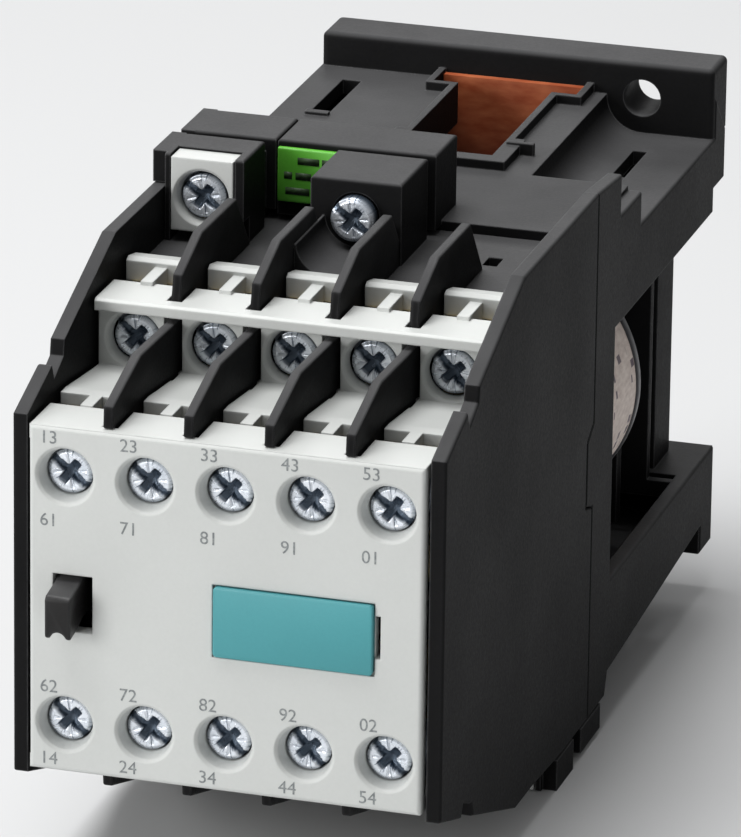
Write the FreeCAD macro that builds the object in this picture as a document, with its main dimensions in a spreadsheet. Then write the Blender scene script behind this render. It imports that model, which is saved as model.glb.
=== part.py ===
import FreeCAD, Part
import math
import os
import re
import Sketcher

# Ten-pole contactor for a 35 mm rail. Row frame, in millimetres: X to the right, Y backwards to the
# panel, Z up; the origin is on the rail's front plane, on the rail's centre line.
# Pieces are laid out in bench terms: x across, depth behind the cover's face, rise above the middle
# plane. The upper and lower halves are half-turn twins about the middle axis.

os.makedirs("parts", exist_ok=True)
doc = FreeCAD.newDocument("contactor")

SIZES = {
    # envelope
    "front": 129.0, "mid": 1.1, "half_width": 27.5, "wall": 1.9, "skin": 2.0, "gap": 0.2,
    "seam": 69.2, "body_top": 36.0, "deck": 30.1, "back": 135.9,
    # terminal columns
    "pitch": 10.25, "fin": 1.3, "fin_top": 36.7, "near_rise": 16.2, "far_rise": 25.1,
    "upper_tip": 25.4, "upper_kink": 28.6, "lower_tip": 24.2, "lower_kink": 27.4, "fin_spare": 0.35,
    "bowl_lip": 3.85, "bowl_mouth": 3.5, "bowl_neck": 3.05, "bowl_edge": 0.35, "collar": 3.9,
    "collar_back": 3.6, "bar_width": 7.4, "bar_thick": 1.2, "bar_hang": 0.3,
    "near_bar": 11.2, "far_bar": 36.2,
    "washer_thick": 1.2, "washer_spare": 0.25, "washer_drop": 2.6, "bed_thick": 4.0, "bed_top": 20.2,
    "tip_rise": 6.5,
    # screws
    "head_radius": 2.82, "head_thick": 2.6, "crown": 0.35, "shank_radius": 1.75, "shank_length": 13.0,
    "shank_end": 0.6, "housing_shank": 22.0, "near_head": 1.9, "far_head": 27.5, "thread_spare": 0.05,
    "bore_spare": 0.3, "groove_long": 6.4, "groove_wide": 0.75, "groove_deep": 1.0, "cross_long": 3.0,
    "cross_wide": 0.9, "cross_deep": 1.7,
    # front cover and its plates
    "cover_half": 25.1, "cover_rise": 22.46, "cover_round": 0.5, "lip_depth": 8.1, "lip_thick": 1.8,
    "window_x": -19.5, "window_half": 2.55, "window_high": 3.5, "window_low": -3.9,
    "mark_left": -1.6, "mark_right": 19.1, "mark_low": -5.0, "mark_high": 4.5,
    "mark_sunk": 0.7, "mark_thick": 1.2, "mark_round": 0.5, "notch_wide": 0.7,
    "notch_low": -2.7, "notch_high": 2.9,
    "peg_left": -21.9, "peg_right": -18.6, "peg_front": -3.7, "peg_low": -3.75, "arch_radius": 1.05,
    # second tier covers
    "ramp_front": 11.9, "ramp_top": 22.6, "ramp_back": 21.4, "face": 26.6, "ledge": 30.5,
    "ledge_front": 24.9, "ledge_back": 32.6, "block_front": 37.4, "block_back": 41.2, "block_top": 31.9,
    "column_half": 3.95, "tier_thick": 1.6, "tier_rib_half": 0.8,
    # front housing inside
    "floor_top": 28.8, "floor_thick": 1.4, "chamber_back": 58.0, "carrier_room": 9.2,
    "trough_half": 4.4, "trough_top": 34.6, "trough_bore": 4.15, "shade_front": 9.4,
    "lug_front": 53.6, "lug_back": 65.2, "lug_half": 6.0,
    "lug_top": 39.6, "lug_screw_rise": 34.9, "chamber_wall": 2.0,
    # crossbar and coil terminal blocks
    "bar_front": 66.6, "bar_back": 76.0, "bar_split": -14.5, "bar_right": 6.7,
    "coil_front": 54.1, "coil_back": 63.0, "coil_right": -15.0, "coil_top": 40.4,
    "coil_screw_x": -20.5, "coil_screw_rise": 35.0, "coil_room": 4.3, "coil_back_wall": 2.6,
    "coil_cap_half": 4.1, "coil_cap_deep": 3.4, "coil_roof": 1.7, "coil_bar_half": 3.6, "coil_head": 0.4,
    # rear housing
    "window_front": 79.1, "arm_low": -20.0, "arm_high": 14.6, "foot_back": 132.9,
    "recess_front": 93.5, "recess_back": 122.4, "recess_half": 6.5, "recess_wide": 9.9, "rim": 1.3,
    "rim_thin": 0.9, "rim_flat": 2.3, "rim_step": 101.3, "well_low": 25.7, "rib_depth": 98.4,
    "rib_thick": 0.8, "rib_reach": 10.7, "rib_high": 1.7, "screen_front": 117.6,
    "screen_back": 118.8, "screen_half": 22.2,
    "edge_round": 0.4, "slot_left": -22.7, "slot_right": -20.1, "slot_front": 107.7, "slot_back": 122.7,
    "flange": 128.0, "flange_top": 34.8, "plate_top": 30.9, "hole_x": 17.5, "hole_rise": 30.0,
    "hole_radius": 2.55, "pocket_front": 90.9, "pocket_floor": 25.1, "pocket_round": 4.9, "plateau": 12.6,
    "pocket_wall": 1.5, "seat_half": 22.2, "seat_front": 121.2, "seat_thick": 2.4, "seat_top": 17.9,
    "lower_face": 126.7, "foot_low": -33.6, "rail_half": 17.5, "rail_thick": 1.0, "rail_spare": 0.2,
    "hook_half": 12.0, "hook_thick": 3.3, "hook_lap": 1.3, "hook_top": 18.5, "relief": 0.6,
    "relief_start": 15.9, "latch_relief": 16.0,
    # coil and magnet
    "coil_rise": -1.1, "coil_a": 25.0, "coil_b": 21.0, "bobbin_front": 80.0, "bobbin_back": 102.4,
    "flange_thick": 1.5, "tube_wall": 1.3, "winding_sunk": 0.6, "label_sunk": 0.3, "label_left": 8.0,
    "limb_half": 7.0, "pole_proud": 1.4, "damper_back": 110.0, "damper_half": 18.0,
    "yoke_back": 108.0, "pole_half": 10.0, "pole_rise": 24.4, "pole_thick": 3.3,
    "armature_front": 70.4, "armature_thick": 4.1, "tongue_half": 4.8, "tongue_rise": 4.0, "tongue": 5.4,
    "pin_ahead": 2.9, "pin_radius": 1.5, "pin_half": 8.0, "pin_spare": 0.05, "travel": 4.0, "air": 0.1,
    # carrier and contacts
    "carrier_front": 8.2, "carrier_back": 61.0, "carrier_half": 24.2, "carrier_rise": 2.6,
    "carrier_foot": 2.6, "ear_inside": 5.0, "ear_outside": 7.6, "ear_rise": 4.0, "window_wide": 2.6,
    "bridge_half": 8.6, "bridge_width": 4.8, "bridge_thick": 1.0, "tip_thick": 0.8, "tip_radius": 1.7,
    "spring_radius": 2.2, "spring_wire": 0.5, "spring_room": 6.0, "spring_pitch": 1.35,
    "return_radius": 2.6, "return_wire": 0.35, "return_pitch": 2.4,
    "return_spare": 0.4, "return_across": 19.0,
    # latch
    "latch_half": 7.0, "latch_front": 130.3, "latch_thick": 2.3, "latch_nose": -16.2, "latch_foot": -36.6,
    "latch_spare": 0.2, "latch_spring_low": -30.5, "latch_coil_radius": 0.85, "latch_wire": 0.25,
    "latch_pitch": 1.2, "latch_coil_length": 6.2,
}

sheet = doc.addObject("Spreadsheet::Sheet", "Spec")
for row, (alias, size) in enumerate(SIZES.items(), start=1):
    sheet.set("A%d" % row, alias)
    sheet.set("B%d" % row, str(size))
    sheet.setAlias("B%d" % row, alias)
doc.recompute()

COLUMNS = (-2, -1, 0, 1, 2)
PARTITIONS = (-1.5, -0.5, 0.5, 1.5)
ALONG_Y = FreeCAD.Rotation(FreeCAD.Vector(1, 0, 0), -90)
ALONG_X = FreeCAD.Rotation(FreeCAD.Vector(0, 1, 0), 90)
SIDE_ON = FreeCAD.Rotation(FreeCAD.Vector(1, 1, 1), 120)
FACE_ON = FreeCAD.Rotation(FreeCAD.Vector(1, 0, 0), 90)
HALF_TURN = FreeCAD.Rotation(FreeCAD.Vector(0, 1, 0), 180)


def bound(text):
    """Points every size name in an expression at the sheet."""
    return re.sub(r"[a-z][a-z_]+", lambda found: "Spec." + found.group(0), str(text))


def locate(part, x="0", depth="front", rise="-mid"):
    """Binds a placement given in bench terms; the defaults leave the part at the origin."""
    part.setExpression("Placement.Base.x", bound(x))
    part.setExpression("Placement.Base.y", bound("%s - front" % depth))
    part.setExpression("Placement.Base.z", bound("mid + (%s)" % rise))


def box(name, x, depth, rise):
    """A box from three (low, high) pairs."""
    part = doc.addObject("Part::Box", name)
    for prop, (low, high) in zip(("Length", "Width", "Height"), (x, depth, rise)):
        part.setExpression(prop, bound("(%s) - (%s)" % (high, low)))
    locate(part, x[0], depth[0], rise[0])
    return part


def rod(name, x, depth, rise, radius):
    """A round bar along the depth."""
    part = doc.addObject("Part::Cylinder", name)
    part.Placement = FreeCAD.Placement(FreeCAD.Vector(), ALONG_Y)
    part.setExpression("Radius", bound(radius))
    part.setExpression("Height", bound("(%s) - (%s)" % (depth[1], depth[0])))
    locate(part, x, depth[0], rise)
    return part


def cone(name, x, depth, rise, front_radius, back_radius):
    """A tapered round bar along the depth."""
    part = doc.addObject("Part::Cone", name)
    part.Placement = FreeCAD.Placement(FreeCAD.Vector(), ALONG_Y)
    part.setExpression("Radius1", bound(front_radius))
    part.setExpression("Radius2", bound(back_radius))
    part.setExpression("Height", bound("(%s) - (%s)" % (depth[1], depth[0])))
    locate(part, x, depth[0], rise)
    return part


def outline(sketch, points):
    """Draws a closed outline whose corners are all bound to the sheet."""
    spots = [FreeCAD.Vector(10 * index, 7 * index * (index % 3 + 1), 0) for index in range(len(points))]
    for index, spot in enumerate(spots):
        sketch.addGeometry(Part.LineSegment(spot, spots[(index + 1) % len(spots)]))
    for index in range(len(points)):
        sketch.addConstraint(Sketcher.Constraint("Coincident", index, 2, (index + 1) % len(points), 1))
    for index, corner in enumerate(points):
        for kind, text, spot in zip(("DistanceX", "DistanceY"), corner, spots[index]):
            rule = sketch.addConstraint(Sketcher.Constraint(kind, index, 1, spot))
            sketch.setExpression("Constraints[%d]" % rule, bound(text))


def slab(name, points, x):
    """A (depth, rise) outline carried across from x[0] to x[1]."""
    sketch = doc.addObject("Sketcher::SketchObject", name + "_outline")
    sketch.Placement = FreeCAD.Placement(FreeCAD.Vector(), SIDE_ON)
    outline(sketch, [("(%s) - front" % depth, "mid + (%s)" % rise) for depth, rise in points])
    sketch.setExpression("Placement.Base.x", bound(x[0]))
    part = doc.addObject("Part::Extrusion", name)
    part.Base = sketch
    part.DirMode = "Normal"
    part.Solid = True
    part.setExpression("LengthFwd", bound("(%s) - (%s)" % (x[1], x[0])))
    return part


def fused(name, parts):
    joined = doc.addObject("Part::MultiFuse", name)
    joined.Shapes = parts
    joined.Refine = True
    return joined


def cut(name, base, tools):
    """A base less one or more tools."""
    rest = doc.addObject("Part::Cut", name)
    rest.Base = base
    rest.Tool = tools[0] if len(tools) == 1 else fused(name + "_tools", tools)
    rest.Refine = True
    return rest


def rounded(name, base, radius, wanted):
    """Fillets the edges that a test picks out."""
    doc.recompute()
    part = doc.addObject("Part::Fillet", name)
    part.Base = base
    edges = base.Shape.Edges
    part.Edges = [(index + 1, radius, radius) for index, edge in enumerate(edges) if wanted(edge)]
    return part


def softened(part, wanted):
    """A part with the moulding's small radius on the edges that a test picks out."""
    return rounded(part.Name + "_soft", part, SIZES["edge_round"], wanted)


def outer_edges(sign):
    """Picks the edges that lie in one outer side face."""
    face = sign * SIZES["half_width"]
    return lambda edge: abs(edge.BoundBox.XMin - face) < 0.01 and abs(edge.BoundBox.XMax - face) < 0.01


def top_edges(rise):
    """Picks the edges of a top face, apart from one along a left side wall."""
    face = SIZES[rise] + SIZES["mid"] - 0.01
    left = SIZES["wall"] + 0.2 - SIZES["half_width"]
    return lambda edge: edge.BoundBox.ZMin > face and edge.BoundBox.XMax > left


def group(name, parts):
    """Separate solids kept together, in place."""
    together = doc.addObject("Part::Compound", name)
    together.Links = parts
    return together


def placed(name, part, x="0", depth="front", rise="-mid"):
    """A copy of a part, moved in bench terms."""
    copy = group(name, [part])
    locate(copy, x, depth, rise)
    return copy


def turned(part):
    """A part's half-turn twin about the middle axis."""
    twin = group(part.Name + "_twin", [part])
    twin.Placement = FreeCAD.Placement(FreeCAD.Vector(), HALF_TURN)
    twin.setExpression("Placement.Base.z", "2 * Spec.mid")
    return twin


def with_twins(parts):
    return parts + [turned(part) for part in parts]


def across(column, side=0):
    """The x of a column's centre, moved sideways by part of the bar's width."""
    return "%s * pitch + (%s)" % (column, side)


nodes = []


def keep(label, part):
    part.Label = label
    nodes.append(part)
    return part


# ---- screws: one turned body each, with a slot and a cross in the head ----

def screw(name, head_radius, head_thick, shank_radius, shank_length):
    """A cheese-head screw along the depth, head face at zero."""
    body = doc.addObject("PartDesign::Body", name)
    planes = {feature.Role: feature for feature in body.Origin.OriginFeatures}
    half = body.newObject("Sketcher::SketchObject", name + "_half")
    half.AttachmentSupport = [(planes["XY_Plane"], "")]
    half.MapMode = "FlatFace"
    outline(half, [
        ("0", "0"), ("%s - crown" % head_radius, "0"), (head_radius, "crown"),
        (head_radius, head_thick), (shank_radius, head_thick),
        (shank_radius, "%s - shank_end" % shank_length), ("%s - shank_end" % shank_radius, shank_length),
        ("0", shank_length)])
    turning = body.newObject("PartDesign::Revolution", name + "_turning")
    turning.Profile = half
    turning.ReferenceAxis = (half, ["V_Axis"])
    turning.Angle = 360
    doc.recompute()
    recesses = (("groove_long", "groove_wide", "groove_deep"), ("cross_long", "cross_wide", "cross_deep"),
                ("cross_wide", "cross_long", "cross_deep"))
    for recess, (wide, tall, deep) in enumerate(recesses):
        mark = body.newObject("Sketcher::SketchObject", "%s_recess_%d" % (name, recess))
        mark.AttachmentSupport = [(planes["XZ_Plane"], "")]
        mark.MapMode = "FlatFace"
        outline(mark, [("-%s / 2" % wide, "-%s / 2" % tall), ("%s / 2" % wide, "-%s / 2" % tall),
                       ("%s / 2" % wide, "%s / 2" % tall), ("-%s / 2" % wide, "%s / 2" % tall)])
        before = body.Shape.Volume
        pocket = body.newObject("PartDesign::Pocket", "%s_pocket_%d" % (name, recess))
        pocket.Profile = mark
        pocket.setExpression("Length", bound(deep))
        doc.recompute()
        if before - body.Shape.Volume < 0.1:
            pocket.Reversed = True
            doc.recompute()
        if before - body.Shape.Volume < 0.1:
            raise RuntimeError("the recess in %s cuts nothing" % name)
    return body


def turned_head(name, master, angle):
    """A screw left at the angle where it was driven home."""
    copy = group(name, [master])
    copy.Placement = FreeCAD.Placement(FreeCAD.Vector(), FreeCAD.Rotation(FreeCAD.Vector(0, 1, 0), angle))
    return copy


terminal_screw = turned_head("driven_screw", screw("terminal_screw", "head_radius", "head_thick",
                                                   "shank_radius", "shank_length"), 40)
housing_screw = turned_head("driven_housing_screw", screw("housing_screw", "head_radius", "head_thick",
                                                          "shank_radius", "housing_shank"), 10)


def rows(label, part, depth, rise):
    """One copy per column in the upper and the lower row."""
    copies = []
    for column in COLUMNS:
        for side, sign in (("upper", ""), ("lower", "-")):
            name = "%s_%s_%d" % (label, side, column + 3)
            copies.append(placed(name, part, across(column), depth, "%s%s" % (sign, rise)))
    return keep(label, group(label, copies))


rows("terminal_screws_front", terminal_screw, "near_head", "near_rise")
rows("terminal_screws_rear", terminal_screw, "far_head", "far_rise")


# ---- clamp washers: square, with a clearance hole for the screw ----

def clamp_washer(name):
    plate = box(name + "_plate", ("-bar_width / 2", "bar_width / 2"),
                ("front - washer_thick", "front"), ("-mid - bar_width / 2", "-mid + bar_width / 2"))
    hole = rod(name + "_hole", "0", ("front - 3", "front + 3"), "-mid",
               "shank_radius + washer_spare")
    return cut(name, plate, [hole])


washer = clamp_washer("washer")
rows("clamp_washers_front", washer, "near_head + head_thick + washer_drop", "near_rise")
rows("clamp_washers_rear", washer, "far_head + head_thick + washer_drop", "far_rise")


# ---- fixed contacts: a bar from the terminal to the chamber, with a riveted tip ----

def fixed_contact(name, depth, rise, tip_front, tip_back):
    """One terminal bar, screw hole and contact tip for the column at x = 0."""
    low = "tip_rise - tip_radius - bar_hang"
    bar = box(name + "_bar", ("-bar_width / 2", "bar_width / 2"), (depth, "%s + bar_thick" % depth),
              (low, "%s + bar_width / 2" % rise))
    hole = rod(name + "_hole", "0", ("%s - 2" % depth, "%s + 3" % depth), rise,
               "shank_radius + thread_spare")
    tip = rod(name + "_tip", "0", (tip_front, tip_back), "tip_rise", "tip_radius")
    return fused(name, [cut(name + "_drilled", bar, [hole]), tip])


def contact_rows(label, part):
    copies = [placed("%s_upper_%d" % (label, column + 3), part, across(column)) for column in COLUMNS]
    return keep(label, group(label, with_twins(copies)))


contact_rows("fixed_contacts_front", fixed_contact(
    "near_contact", "near_bar", "near_rise", "near_bar + bar_thick / 2", "near_bar + bar_thick + tip_thick"))
contact_rows("fixed_contacts_rear", fixed_contact(
    "far_contact", "far_bar", "far_rise", "far_bar - tip_thick", "far_bar + bar_thick / 2"))


# ---- front cover ----

def fin_slots(name, depth, rise):
    """Clearance for the four fins that a cover fits round."""
    half = "fin / 2 + fin_spare"
    return [box("%s_%d" % (name, index), ("%s * pitch - (%s)" % (place, half),
                                         "%s * pitch + (%s)" % (place, half)), depth, rise)
            for index, place in enumerate(PARTITIONS)]


def bowl(name, x, depth, rise):
    """The funnel over a terminal screw: a broken edge, a tapered wall and a neck round the head."""
    edge = "%s + bowl_edge" % depth
    neck = "%s + skin" % depth
    return [cone(name + "_lip", x, (depth, edge), rise, "bowl_lip", "bowl_mouth"),
            cone(name + "_wall", x, (edge, neck), rise, "bowl_mouth", "bowl_neck"),
            rod(name + "_neck", x, (edge, "%s + 4" % depth), rise, "bowl_neck")]


def cover_lip(name):
    """The rim that turns back over the terminals, slotted for the fins."""
    lip = box(name, ("-cover_half", "cover_half"), ("0.2", "lip_depth"),
              ("cover_rise - lip_thick", "cover_rise"))
    return cut(name + "_notched", lip, fin_slots(name + "_slot", ("1.2", "lip_depth + 1"),
                                                 ("cover_rise - 4", "cover_rise + 1")))


cover_plate = box("cover_plate", ("-cover_half", "cover_half"), ("0", "skin"),
                  ("-cover_rise", "cover_rise"))
screw_holes = []
collars = []
for column in COLUMNS:
    for sign in ("", "-"):
        screw_holes += bowl("cover_bowl", across(column), "0", "%snear_rise" % sign)
        collars.append(rod("cover_collar", across(column), ("skin / 2", "collar_back"),
                           "%snear_rise" % sign, "collar"))
indicator_window = box("indicator_window", ("window_x - window_half", "window_x + window_half"),
                       ("-1", "skin + 1"), ("window_low", "window_high"))
mark_seat = box("mark_seat", ("mark_left", "mark_right"), ("-1", "mark_sunk"), ("mark_low", "mark_high"))
mark_notch = box("mark_notch", ("mark_right - 0.1", "mark_right + notch_wide"),
                 ("-1", "skin + 1"), ("notch_low", "notch_high"))
cover_shell = fused("cover_shell", with_twins([cover_lip("cover_lip")]) + collars + [
    rounded("cover_face", cover_plate, SIZES["cover_round"],
            lambda edge: edge.BoundBox.YMax < 0.1 - SIZES["front"]),
])
keep("front_cover", cut("front_cover", cover_shell, screw_holes + [
    indicator_window, mark_seat, mark_notch]))

# The marking plate clips into its seat and stands a little proud.
mark_body = doc.addObject("PartDesign::Body", "marking_plate")
mark_planes = {feature.Role: feature for feature in mark_body.Origin.OriginFeatures}
mark_sketch = mark_body.newObject("Sketcher::SketchObject", "marking_outline")
mark_sketch.AttachmentSupport = [(mark_planes["XZ_Plane"], "")]
mark_sketch.MapMode = "FlatFace"
outline(mark_sketch, [
    ("mark_left + gap", "mark_low + gap"), ("mark_right - gap", "mark_low + gap"),
    ("mark_right - gap", "mark_high - gap"), ("mark_left + gap", "mark_high - gap")])
mark_pad = mark_body.newObject("PartDesign::Pad", "marking_pad")
mark_pad.Profile = mark_sketch
mark_pad.setExpression("Length", "Spec.mark_thick")
mark_pad.Reversed = True
doc.recompute()
mark_edges = ["Edge%d" % (index + 1) for index, edge in enumerate(mark_pad.Shape.Edges)
              if edge.BoundBox.YLength > SIZES["mark_thick"] / 2]
mark_round = mark_body.newObject("PartDesign::Fillet", "marking_corners")
mark_round.Base = (mark_pad, mark_edges)
mark_round.setExpression("Radius", "Spec.mark_round")
locate(mark_body, "0", "mark_sunk - mark_thick", "0")
keep("marking_plate", mark_body)


# ---- second tier covers: a ramp over the first tier, a screwed face, a ledge and a block ----

def tier_cover(name):
    ramp = slab(name + "_ramp", [
        ("ramp_front", "ramp_top - tier_thick"), ("ramp_front", "ramp_top"), ("ramp_front + 2", "ramp_top"),
        ("face - 1.2", "ramp_back"), ("face + 0.6", "ramp_back"), ("face + 0.6", "ramp_back - 1.5"),
        ("ramp_front + 2", "ramp_top - tier_thick")], ("-cover_half", "cover_half"))
    face = box(name + "_face", ("-cover_half", "cover_half"), ("face", "face + tier_thick"),
               ("ramp_back - 1.5", "ledge"))
    ledge = slab(name + "_ledge", [
        ("ledge_front", "ledge - 1.5"), ("ledge_front", "ledge - 0.3"), ("ledge_front + 0.4", "ledge"),
        ("ledge_back", "ledge"), ("ledge_back", "ledge - tier_thick"), ("face + 0.5", "ledge - tier_thick")],
        ("-cover_half", "cover_half"))
    near_block = slab(name + "_block", [
        ("block_front", "block_top - 1.8"), ("block_front", "block_top - 0.4"),
        ("block_front + 0.8", "block_top"), ("block_back", "block_top - 0.6"),
        ("block_back", "floor_top + 0.1"), ("block_front", "floor_top + 0.1")],
        ("-cover_half", "cover_half"))
    ribs = []
    for column in COLUMNS:
        middle = ("%s * pitch - tier_rib_half" % column, "%s * pitch + tier_rib_half" % column)
        ribs.append(box(name + "_rib", middle, ("ledge_back - 1", "block_front + 1"),
                        ("ledge - tier_thick", "ledge + 0.5")))
        ribs.append(box(name + "_fore_rib", middle, ("lip_depth + 0.1", "ramp_front + 1"),
                        ("ramp_top - tier_thick", "ramp_top")))
    whole = fused(name + "_whole", [ramp, face, ledge, near_block] + ribs)
    slots = fin_slots(name + "_slot", ("ramp_front - 1", "block_back + 1"), ("10", "ledge - tier_thick"))
    slots += fin_slots(name + "_back_slot", ("face + 0.4", "block_back + 1"), ("ledge - 2", "40"))
    slots += [box("%s_gap_%d" % (name, index), ("%s * pitch - (pitch / 2 - column_half)" % place,
                                                "%s * pitch + (pitch / 2 - column_half)" % place),
                  ("face - 4", "face + 0.9"), ("ramp_back", "ledge - tier_thick"))
              for index, place in enumerate(PARTITIONS)]
    holes = []
    for column in COLUMNS:
        holes += bowl(name + "_bowl", across(column), "face", "far_rise")
    web = box(name + "_web", ("-cover_half", "cover_half"), ("face + 0.4", "face + tier_thick"),
              ("ramp_back - 1.5", "ramp_back - 0.3"))
    return fused(name, [cut(name + "_open", whole, slots + holes), web])


upper_cover = tier_cover("upper_terminal_cover")
keep("upper_terminal_cover", upper_cover)
keep("lower_terminal_cover", turned(upper_cover))


# ---- front housing ----

def side_wall(name, x):
    """A side wall of the front housing, with its stepped top and bottom edges."""
    return slab(name, [
        ("0.84", "23.4"), ("10.1", "26.6"), ("11", "24.6"), ("14.5", "26.3"), ("14.9", "28.4"),
        ("34.8", "body_top"), ("seam", "body_top"), ("seam", "5.2"), ("seam - 3", "3.4"),
        ("seam - 3", "-5.8"), ("seam", "-6.6"), ("seam", "-35.9"), ("57.2", "-35.9"),
        ("43.5", "-35.1"), ("35.3", "-35"), ("15.4", "-28.2"), ("14.5", "-26.2"), ("11", "-24.8"),
        ("10.2", "-26.5"), ("0.84", "-23.5")], x)


def fin_wall(name, place, tip, kink):
    """One wall between two columns: it stands on both contact beds and ends in a pair of fins."""
    bed = "near_bar + bar_thick"
    rear_face = "far_bar + bar_thick"
    return slab(name, [
        ("skin + 0.3", "carrier_room"), ("skin + 0.3", "cover_rise + 0.1"), ("1.1", "cover_rise + 0.1"),
        ("1.3", tip), ("12", kink),
        ("face + 0.8", "28.2"), ("face + 1.2", "31.3"), ("face + 1.7", "33.6"), ("36.3", "fin_top"),
        ("50.3", "fin_top"), ("56.3", "floor_top"), ("%s + bed_thick" % rear_face, "floor_top"),
        ("%s + bed_thick" % rear_face, "floor_top - 0.5"), (rear_face, "floor_top - 0.5"),
        (rear_face, "carrier_room"), ("%s + bed_thick" % bed, "carrier_room"),
        ("%s + bed_thick" % bed, "bed_top"), (bed, "bed_top"), (bed, "carrier_room")],
        ("%s * pitch - fin / 2" % place, "%s * pitch + fin / 2" % place))


def fin_walls(name, tip, kink, clear_of):
    """The four walls of the upper half, clear of the lug and of the cover's web."""
    walls = [fin_wall("%s_wall_%d" % (name, index), place, tip, kink)
             for index, place in enumerate(PARTITIONS)]
    return cut(name, fused(name + "_set", walls), clear_of)


inner = ("-half_width + wall", "half_width - wall")
walls = [softened(side_wall("left_wall", ("-half_width", "-half_width + wall")), outer_edges(-1)),
         softened(side_wall("right_wall", ("half_width - wall", "half_width")), outer_edges(1))]
chamber_walls = [box("chamber_wall_%d" % index,
                     ("%s * pitch - fin / 2" % place, "%s * pitch + fin / 2" % place),
                     ("far_bar + bar_thick + 1", "chamber_back - 1"), ("carrier_room", "floor_top - 1"))
                 for index, place in enumerate(PARTITIONS)]
wire_floor = box("wire_floor", inner, ("block_back + 0.2", "seam"), ("floor_top - floor_thick", "floor_top"))
front_bed = box("front_bed", inner, ("near_bar + bar_thick", "near_bar + bar_thick + bed_thick"),
                ("carrier_room", "bed_top"))
rear_bed = box("rear_bed", inner, ("far_bar + bar_thick", "far_bar + bar_thick + bed_thick"),
               ("carrier_room", "floor_top - 0.5"))
chamber_wall = box("chamber_wall", inner, ("chamber_back - chamber_wall", "chamber_back"),
                   ("carrier_room", "floor_top"))
lug = softened(box("lug", ("-lug_half", "lug_half"), ("lug_front", "lug_back"),
                   ("floor_top - 0.5", "lug_top")), top_edges("lug_top"))
trough = box("trough", ("-trough_half", "trough_half"), ("block_back + 0.2", "lug_front + 0.5"),
             ("floor_top - 0.5", "trough_top"))
front_tops = with_twins(chamber_walls + [wire_floor, front_bed, rear_bed, chamber_wall, lug, trough])
middle_wall = [box("middle_stay", (low, high), ("chamber_back - chamber_wall", "chamber_back"),
                   ("-carrier_room - 0.5", "carrier_room + 0.5"))
               for low, high in (("-half_width + wall", "-carrier_half - 0.3"),
                                 ("carrier_half + 0.3", "half_width - wall"))]
shade_depth = ("shade_front", "shade_front + 1")
shade_x = ("-half_width + wall - 0.5", "window_x + window_half + 0.6")
shades = [box("window_shade", shade_x, shade_depth, span)
          for span in (("-carrier_room", "window_low - 0.7"), ("window_high + 0.9", "carrier_room"))]
front_holes = []
for column in COLUMNS:
    for depth, rise in (("near_bar", "near_rise"), ("far_bar", "far_rise")):
        front_holes.append(rod("bed_hole", across(column), (depth, "%s + 6" % depth), rise,
                               "shank_radius + bore_spare"))
front_holes.append(rod("trough_bore", "0", ("block_back", "lug_front"), "lug_screw_rise", "trough_bore"))
front_holes.append(rod("lug_bore", "0", ("lug_front - 1", "lug_back + 1"), "lug_screw_rise",
                       "shank_radius + thread_spare"))
front_holes.append(rod("lug_sink", "0", ("lug_front - 1", "lug_front + 0.6"), "lug_screw_rise",
                       "head_radius + bore_spare"))
front_holes.append(box("floor_slot", ("15.5", "17.4"), ("57.6", "60.9"), ("20", "40")))
keep("front_housing", cut("front_housing", fused("front_shell", walls + front_tops + middle_wall + shades),
                          with_twins(front_holes)))
web_way = box("web_way", inner, ("face + 0.3", "face + 1.7"), ("ramp_back - 1.6", "ramp_back - 0.2"))
keep("fin_walls_upper", fin_walls("fin_walls_upper", "upper_tip", "upper_kink", [lug, web_way]))
keep("fin_walls_lower", turned(fin_walls("fin_walls_below", "lower_tip", "lower_kink", [lug, web_way])))


# ---- coil terminal blocks, their covers, bars, washers and screws ----

def coil_block(name):
    """The black carrier of one coil terminal: a pocketed block, a neck and part of the crossbar."""
    left = "-half_width + wall + 0.1"
    block = softened(box(name + "_block", (left, "coil_right"), ("coil_front", "coil_back"),
                         ("floor_top + 0.1", "coil_top")), top_edges("coil_top"))
    ear = box(name + "_ear", ("-half_width + 0.1", left), ("coil_front + 1", "coil_back"),
              ("body_top + 0.2", "coil_top"))
    neck = box(name + "_neck", (left, "coil_right - 1"), ("coil_back - 1", "bar_front + 1"),
               ("floor_top + 0.1", "coil_top - 2.5"))
    crossbar = softened(box(name + "_crossbar", (left, "bar_split - 0.1"), ("bar_front", "bar_back"),
                            ("deck + 0.1", "lug_top")), top_edges("lug_top"))
    shoulder = box(name + "_shoulder", ("-half_width + 0.1", left), ("bar_front", "bar_back"),
                   ("body_top + 0.2", "lug_top"))
    room_x = ("coil_screw_x - coil_room", "coil_screw_x + coil_room")
    pocket = box(name + "_pocket", room_x, ("coil_front - 1", "coil_back - coil_back_wall"),
                 ("floor_top - 1", "coil_top - coil_roof"))
    cap_room = box(name + "_cap_room", room_x, ("coil_front - 1", "coil_front + coil_cap_deep + 0.1"),
                   ("floor_top - 1", "coil_top + 1"))
    bore = rod(name + "_bore", "coil_screw_x", ("coil_front", "coil_back + 12"), "coil_screw_rise",
               "shank_radius + bore_spare")
    fin_way = box(name + "_fin_way", ("coil_right - 1.3", "coil_right + 1"),
                  ("coil_front - 1", "coil_front + 2.6"), ("floor_top", "floor_top + 3.5"))
    whole = fused(name + "_whole", [block, ear, neck, crossbar, shoulder])
    return cut(name, whole, [pocket, cap_room, bore, fin_way])


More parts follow.
